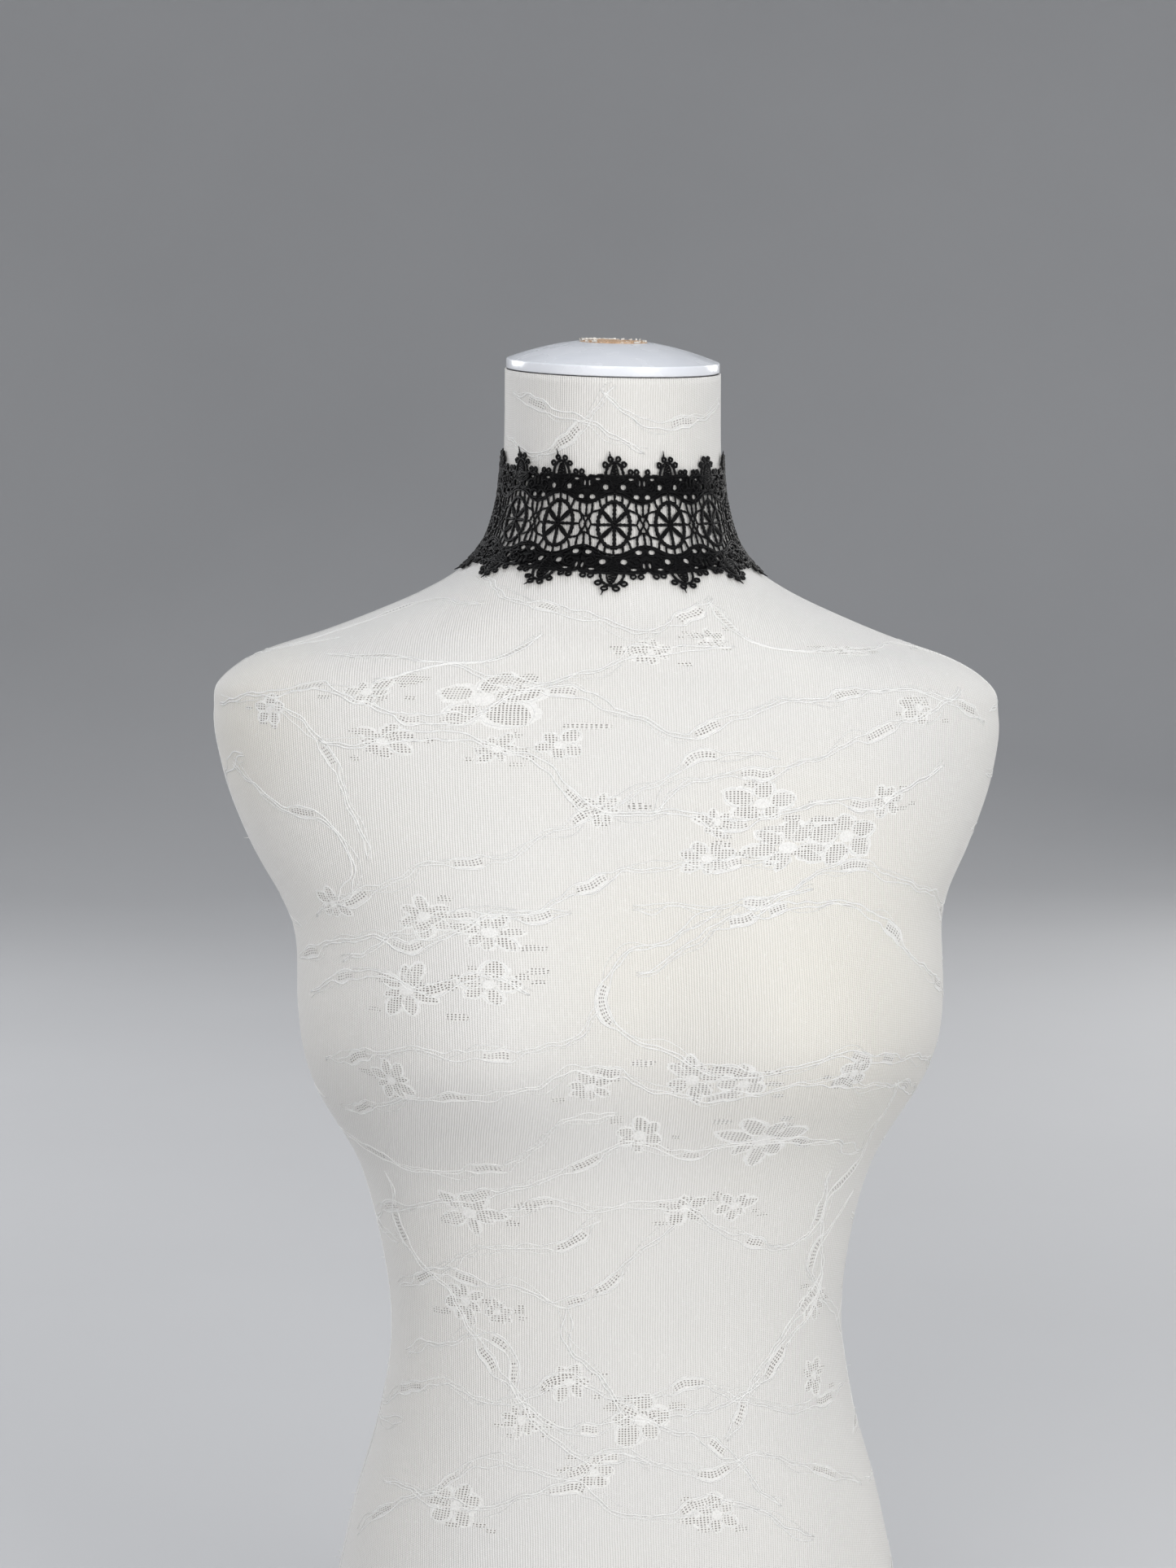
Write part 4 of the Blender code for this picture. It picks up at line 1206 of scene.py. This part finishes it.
# Stems on the front, through places in the photograph's pixels, and flowers there with their size in
# millimetres, sideways stretch and turn.
FRONT_STEMS = (
    ((400, 800), (480, 806), (560, 820), (640, 838), (740, 820), (800, 800), (900, 790)),
    ((460, 840), (550, 815), (610, 808), (670, 780)),
    ((390, 910), (470, 915), (560, 905), (640, 925), (690, 965), (730, 995), (800, 1000), (900, 1012),
     (1000, 990), (1100, 975), (1160, 940)),
    ((390, 1130), (440, 1098), (520, 1068), (600, 1058), (660, 1028), (740, 1000), (790, 968), (860, 935),
     (960, 930)),
    ((420, 1180), (560, 1125), (650, 1114), (720, 1090), (780, 1070), (860, 1062), (960, 1060)),
    ((780, 1200), (820, 1184), (870, 1148), (910, 1128), (960, 1096), (1040, 1064), (1100, 1076),
     (1160, 1130), (1170, 1180)),
    ((780, 1116), (870, 1118), (930, 1104), (1000, 1088)),
    ((920, 1130), (980, 1108), (1030, 1108), (1080, 1132), (1120, 1170), (1160, 1230)),
    ((420, 1360), (560, 1350), (650, 1336), (700, 1316), (760, 1322), (820, 1340), (920, 1345),
     (1040, 1330), (1120, 1345)),
    ((440, 1500), (560, 1472), (620, 1470), (700, 1438), (760, 1406), (850, 1420), (930, 1400),
     (1060, 1410)),
    ((610, 1490), (670, 1474), (740, 1488), (830, 1482), (870, 1500), (950, 1534), (1000, 1510),
     (1020, 1440)),
    ((520, 1560), (620, 1578), (700, 1606), (770, 1550), (835, 1505)),
    ((700, 1606), (694, 1650), (730, 1690), (800, 1740), (900, 1720), (990, 1620), (1010, 1560)),
    ((500, 1660), (600, 1640), (640, 1720), (720, 1760), (790, 1745), (880, 1780), (960, 1850)),
    ((470, 1820), (600, 1850), (700, 1830), (790, 1860), (900, 1850), (1000, 1890)),
    ((600, 700), (640, 740), (720, 760), (800, 770), (880, 740)),
    ((330, 860), (380, 900), (420, 960), (450, 1060)),
    ((270, 870), (330, 850), (400, 846), (470, 880), (560, 880), (660, 850), (760, 870), (850, 900),
     (980, 860), (1100, 850), (1210, 880)),
    ((290, 800), (360, 790), (450, 765), (520, 740), (590, 745)),
    ((870, 740), (930, 790), (1010, 800), (1100, 790), (1180, 815), (1225, 860)),
    ((800, 1000), (860, 960), (950, 945), (1040, 920), (1120, 880), (1180, 845)),
    ((285, 940), (340, 985), (400, 1010), (430, 1065), (420, 1120)),
    ((370, 1180), (440, 1150), (520, 1165), (600, 1130), (700, 1120)),
    ((880, 1110), (820, 1150), (765, 1180), (742, 1220), (750, 1262), (800, 1292), (880, 1312),
     (970, 1318), (1060, 1300), (1150, 1310)),
    ((380, 1215), (450, 1200), (520, 1215), (600, 1200), (650, 1225)),
    ((400, 1300), (480, 1290), (560, 1300), (640, 1290), (710, 1272), (742, 1240)),
    ((410, 1390), (470, 1420), (540, 1440), (620, 1430), (700, 1380), (760, 1370)),
    ((470, 1440), (500, 1520), (560, 1600), (600, 1670), (650, 1740), (720, 1790), (800, 1800)),
    ((490, 1580), (540, 1560), (600, 1535), (680, 1530), (740, 1500)),
    ((1100, 1330), (1060, 1420), (1010, 1480), (1012, 1560), (960, 1640), (930, 1700), (890, 1770)),
    ((1050, 1460), (1000, 1560), (1040, 1660), (1050, 1740)),
    ((470, 1720), (540, 1700), (620, 1720), (690, 1700), (770, 1720), (850, 1700), (940, 1730),
     (1040, 1700)),
    ((440, 1880), (520, 1830), (600, 1800), (690, 1810), (760, 1790), (860, 1810), (960, 1790),
     (1060, 1830)),
    ((630, 480), (680, 500), (740, 530), (790, 560)),
    ((740, 470), (780, 510), (850, 520), (884, 500)),
    ((622, 540), (670, 555), (720, 520), (760, 480)),
)
FRONT_FLOWERS = (
    (590, 860, 15, 1.9, 0.3), (450, 850, 9, 1.4, 0.0), (470, 912, 9, 1.5, 0.5), (610, 922, 8, 1.5, 0.2),
    (690, 915, 8, 1.6, 0.9), (520, 1128, 10, 1.4, 0.4), (600, 1145, 11, 1.7, 0.1),
    (738, 997, 8, 1.4, 0.6), (938, 990, 11, 1.6, 0.2), (880, 1008, 8, 1.3, 0.7), (868, 1054, 9, 1.4, 0.3),
    (968, 1040, 13, 1.6, 0.0), (1040, 1026, 13, 1.4, 0.5), (1090, 985, 8, 1.2, 0.1),
    (726, 1334, 9, 1.3, 0.3), (850, 1326, 12, 1.2, 0.1), (912, 1334, 10, 1.3, 0.6),
    (787, 1396, 12, 1.15, 0.52), (936, 1400, 16, 1.3, 0.2), (577, 1490, 13, 1.3, 0.1),
    (841, 1488, 9, 1.3, 0.4), (903, 1482, 8, 1.3, 0.2), (572, 1600, 11, 1.0, 0.6),
    (612, 1614, 7, 1.0, 0.2), (790, 1742, 13, 1.2, 0.3), (700, 1700, 9, 1.2, 0.0),
    (1000, 1600, 10, 1.0, 0.5), (480, 1330, 10, 1.2, 0.2), (330, 870, 8, 1.2, 0.2),
    (1130, 870, 8, 1.3, 0.6), (1040, 800, 7, 1.6, 0.1), (500, 1215, 12, 1.5, 0.3),
    (600, 1210, 10, 1.4, 0.1), (1050, 1320, 9, 1.1, 0.4), (1000, 1690, 9, 1.0, 0.2),
    (640, 1745, 9, 1.1, 0.5), (730, 1812, 8, 1.3, 0.2), (410, 1110, 8, 1.3, 0.6), (800, 800, 7, 1.5, 0.2),
    (870, 785, 7, 1.4, 0.5), (560, 1850, 11, 1.2, 0.2), (880, 1860, 10, 1.2, 0.5),
)
# The back's pattern: heights of its stems, and rising stems by turn in degrees and heights.
BACK_LEVELS = (0.035, 0.07, 0.12, 0.16, 0.20, 0.25, 0.29, 0.33, 0.37, 0.41, 0.45, 0.48, 0.51, 0.54, 0.562)
BACK_RISERS = ((120, 0.08, 0.24), (200, 0.25, 0.4), (240, 0.42, 0.53))


def build_pattern(camera, floss, net, dense):
    """Stems and flowers worked in the cover, all round."""
    front = Pile()
    for k, stem in enumerate(FRONT_STEMS):
        add_vine(front, locate(camera, stem), 100 + k)
    centres = locate(camera, [f[:2] for f in FRONT_FLOWERS])
    for k, (centre, (_, _, size, stretch, spin)) in enumerate(zip(centres, FRONT_FLOWERS)):
        add_flower(front, centre, size * MM * 0.92, stretch, spin, 5 + k % 4, 300 + k)
    piece = front.build("cover_pattern_front", [floss, net, dense])
    back = Pile()
    local = np.random.default_rng(9)
    for row, level in enumerate(BACK_LEVELS):
        turns = np.linspace(math.radians(68), math.radians(292), 9)
        levels = level + local.uniform(-0.013, 0.013, 9)
        if row % 2:
            turns, levels = turns[:-2], levels[:-2]
        add_vine(back, np.column_stack([turns, levels]), 500 + row)
        for k in range(3):
            i = local.integers(1, len(turns) - 1)
            centre = (turns[i] + local.uniform(-0.05, 0.05), levels[i] + local.uniform(-0.004, 0.004))
            size, stretch, spin = local.uniform(8, 14) * MM, local.uniform(1.0, 1.5), local.uniform(0, 1)
            add_flower(back, centre, size, stretch, spin, 6 - k % 2, 700 + row * 5 + k)
    for row, (turn, low, high) in enumerate(BACK_RISERS):
        turns = math.radians(turn) + local.uniform(-0.12, 0.12, 6)
        add_vine(back, np.column_stack([turns, np.linspace(low, high, 6)]), 600 + row)
    piece = back.build("cover_pattern_back", [floss, net, dense])
    # Side seams, where the front and back of the cover meet, and a few loose ends on them.
    seams = Pile()
    levels = np.linspace(0.004, 0.548, 60)
    for side in (-1, 1):
        seam = np.column_stack([side * math.pi / 2 + 0.01 * np.sin(levels * 40), levels])
        lay_line(seams, seam, 0.75 * MM, 0.32 * MM, sides=6, step=1.5 * MM, lift=0.02 * MM)
        for _ in range(14):
            level = local.uniform(0.10, 0.52)
            turn = side * math.pi / 2 + local.uniform(-0.06, 0.06)
            long = local.uniform(1.5, 4) * MM
            drift = local.uniform(-1, 1, 3) * long * 0.5
            steps = ((0, 0), (0.5, 0.4), (0.8, 1))
            line = [on_form(turn, level, long * out)[0] + drift * aside for out, aside in steps]
            line = curve_through(line, False, 0.5 * MM)
            sweep(seams, line, np.broadcast_to((0.1, 0.2, 0.97), line.shape), 0.11 * MM, 0.11 * MM, sides=5)
    piece = seams.build("cover_seams", [floss])


# Neck cap and plug

CAP_INSET, CAP_RIM, CAP_ROUND, CAP_DOME = 0.0006, 0.0050, 0.0009, 0.0095
CAP_HOLE_SHARE, CAP_HOLE_DEEP = 0.32, 0.0045
NECK, CAP_COLUMNS = FORM[-1][1], 128
CAP_UP = np.array([math.tan(SHOULDER_DROP), -math.tan(NECK_LEAN), 1.0])


def cap_ring(share, rise, turns=np.linspace(0, 2 * math.pi, CAP_COLUMNS + 1)[:-1]):
    """A ring round the neck's top, share of its full size, at a rise above its tipped plane."""
    edge = form_points(turns, LEAN_TO)
    middle = (form_points(0.0, LEAN_TO) + form_points(math.pi, LEAN_TO)) / 2
    return middle + (edge - middle) * share + CAP_UP / np.linalg.norm(CAP_UP) * np.asarray(rise)[..., None]


CAP_MIDDLE = tuple(float(x) for x in cap_ring(0.0, 0.005, np.zeros(1))[0])


def build_cap():
    full = 1 - CAP_INSET / NECK
    shoulder = full - CAP_ROUND / NECK
    profile = [(0.4, SEAM), (shoulder - 0.01, SEAM), (shoulder, SEAM)]
    for a in np.linspace(0.2, math.pi / 2, 5):
        profile.append((shoulder + (full - shoulder) * math.sin(a), SEAM + CAP_ROUND * (1 - math.cos(a))))
    profile.append((full + 0.0006, SEAM + CAP_RIM * 0.5))
    for a in np.linspace(0, math.pi / 2, 6):
        rise = SEAM + CAP_RIM - CAP_ROUND * (1 - math.sin(a))
        profile.append((shoulder + (full - shoulder) * math.cos(a), rise))
    for share in np.linspace(shoulder - 0.012, CAP_HOLE_SHARE + 0.008, 26):
        profile.append((share, SEAM + CAP_RIM + CAP_DOME * (1 - (share / shoulder) ** 2)))
    top = SEAM + CAP_RIM + CAP_DOME * (1 - (CAP_HOLE_SHARE / shoulder) ** 2)
    profile += [(CAP_HOLE_SHARE + 0.003, top - 0.00015), (CAP_HOLE_SHARE, top - 0.0006)]
    profile.append((CAP_HOLE_SHARE, top - CAP_HOLE_DEEP))
    rings = np.stack([cap_ring(*row) for row in profile])
    cap = solid_of_rings(rings, np.linspace(0, 0.33, CAP_COLUMNS + 1), np.linspace(0, 0.09, len(profile)))
    piece = cap.build("neck_cap_gloss", [cap_material()])
    piece.data.set_sharp_from_angle(angle=math.radians(50))
    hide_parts("neck_cap")
    local = np.random.default_rng(5)
    build_plug(local, CAP_HOLE_SHARE - SEAM / NECK, top)
    build_torn(local, CAP_HOLE_SHARE - SEAM / NECK, top)


def build_plug(local, share, top):
    """The plug: rough end grain, crumbled at the edge."""
    profile = [(share, top - CAP_HOLE_DEEP + SEAM), (share, top - 0.0003)]
    profile += [(share * s, top + 0.0004) for s in np.linspace(0.97, 0.03, 26)]
    rings = np.stack([cap_ring(*row) for row in profile])
    rough = np.zeros(rings.shape[:2])
    for k in range(5):
        spin, size = local.uniform(0, 6.28), 150 * 1.9**k
        across = rings[..., 0] * size * math.cos(spin) + rings[..., 1] * size * math.sin(spin)
        rough += 0.55**k * np.sin(across + local.uniform(0, 6.28))
    rough = rough * 0.28 + local.uniform(-0.18, 0.18, rough.shape)
    rough[:2] = 0
    rings = rings + (rough * MM)[..., None] * CAP_UP
    around = np.linspace(0, 0.33, CAP_COLUMNS + 1) * 0.3
    plug = solid_of_rings(rings, around, np.linspace(0, 0.02, len(profile)))
    piece = plug.build("cap_plug_wood", [plug_material()])
    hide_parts("cap_plug")


def build_torn(local, share, top):
    """Torn paper between the plug and the cap, in ragged flecks."""
    torn = Pile()
    for k in range(70):
        a = local.uniform(0, 2 * math.pi) if k > 24 else math.pi * local.uniform(0.9, 1.5)
        long = local.uniform(1.0, 3.2) * MM
        base = cap_ring(share * local.uniform(0.93, 1.0), top + 0.0002, np.array([a, a + long / 0.0165]))
        tall = local.uniform(0.3, 1.1) * MM
        lean = local.uniform(-0.6, 0.6) * MM
        foot = base[0] + (base[1] - base[0]) * np.linspace(0, 1, 5)[:, None]
        tops = foot + CAP_UP * tall * (0.4 + 0.6 * local.random((5, 1)))
        tops = tops + unit(base.mean(0) - np.array(CAP_MIDDLE)) * lean
        wall = unit(np.cross(base[1] - base[0], CAP_UP)) * 0.12 * MM
        uv = np.zeros((4, 5, 2))
        torn.grid(np.stack([foot - wall, tops - wall, tops + wall, foot + wall]), False, uv)
        torn.grid(np.stack([foot + wall, foot - wall]), False, uv[:2])
    piece = torn.build("plug_torn_paper", [torn_material()])


# Stage

FLOOR_FLAT, FLOOR_BEND, WALL_HIGH = 3.2, 2.4, 4.0
SURROUND_LOW, SURROUND_HIGH = (0.10, 0.105, 0.115), (0.28, 0.29, 0.31)
LIGHTS = (
    # name, place, power in watts, side and colour
    ("key", (-1.15, -2.9, 1.6), 45, 1.5, (1.0, 0.985, 0.965)),
    ("fill", (1.5, -2.75, 1.0), 46, 1.4, (1.0, 0.985, 0.96)),
    ("back_left", (-2.2, 2.3, 1.4), 42, 1.4, (0.98, 0.985, 1.0)),
    ("back_right", (2.3, 2.1, 1.3), 38, 1.4, (1.0, 0.99, 0.975)),
    ("top", (0.1, -0.3, 2.5), 14, 1.4, (0.95, 0.97, 1.0)),
)


def build_stage():
    """A plain pale floor that bends up all round, far away, and soft lights."""
    pile = Pile()
    turns = np.linspace(0, 2 * math.pi, 129)[:-1]
    profile = [(r, -0.0002) for r in (0.001, 0.5, 1, 2, 3)]
    for a in np.linspace(0.05, math.pi / 2, 24):
        profile.append((FLOOR_FLAT + FLOOR_BEND * math.sin(a), FLOOR_BEND * (1 - math.cos(a))))
    profile.append((FLOOR_FLAT + FLOOR_BEND, WALL_HIGH))
    rings = np.array([[(r * math.cos(a), r * math.sin(a), z) for a in turns] for r, z in profile])
    around = np.concatenate([rings, rings[:, :1]], axis=1)
    pile.grid(rings, True, around[..., :2])
    floor = pile.build("floor", [floor_material()])
    world = bpy.data.worlds.new("world")
    bpy.context.scene.world = world
    world.use_nodes = True
    tree = world.node_tree
    generated = put(tree, "ShaderNodeTexCoord").outputs["Generated"]
    height = put(tree, "ShaderNodeSeparateXYZ", {0: generated}).outputs[2]
    colour = mix(tree, remap(tree, height, 0.0, 0.8), SURROUND_LOW, SURROUND_HIGH)
    tree.links.new(colour, tree.nodes["Background"].inputs[0])
    for name, place, power, size, colour in LIGHTS:
        data = bpy.data.lights.new(name, "AREA")
        data.shape, data.size, data.energy, data.color = "SQUARE", size, power, colour
        light = bpy.data.objects.new(name, data)
        light.location = place
        light.rotation_euler = (Vector(place) - Vector((0, 0, 0.48))).to_track_quat("Z", "Y").to_euler()
        bpy.context.scene.collection.objects.link(light)
    bpy.context.scene.view_settings.view_transform = "Standard"


camera = make_camera()
build_stage()
build_cover(knit_material())
build_pattern(camera, floss_material(), net_material(), dense_material())
build_lace()
build_closure()
build_cap()
paint("form_torso", bpy.data.materials["cover_knit"])
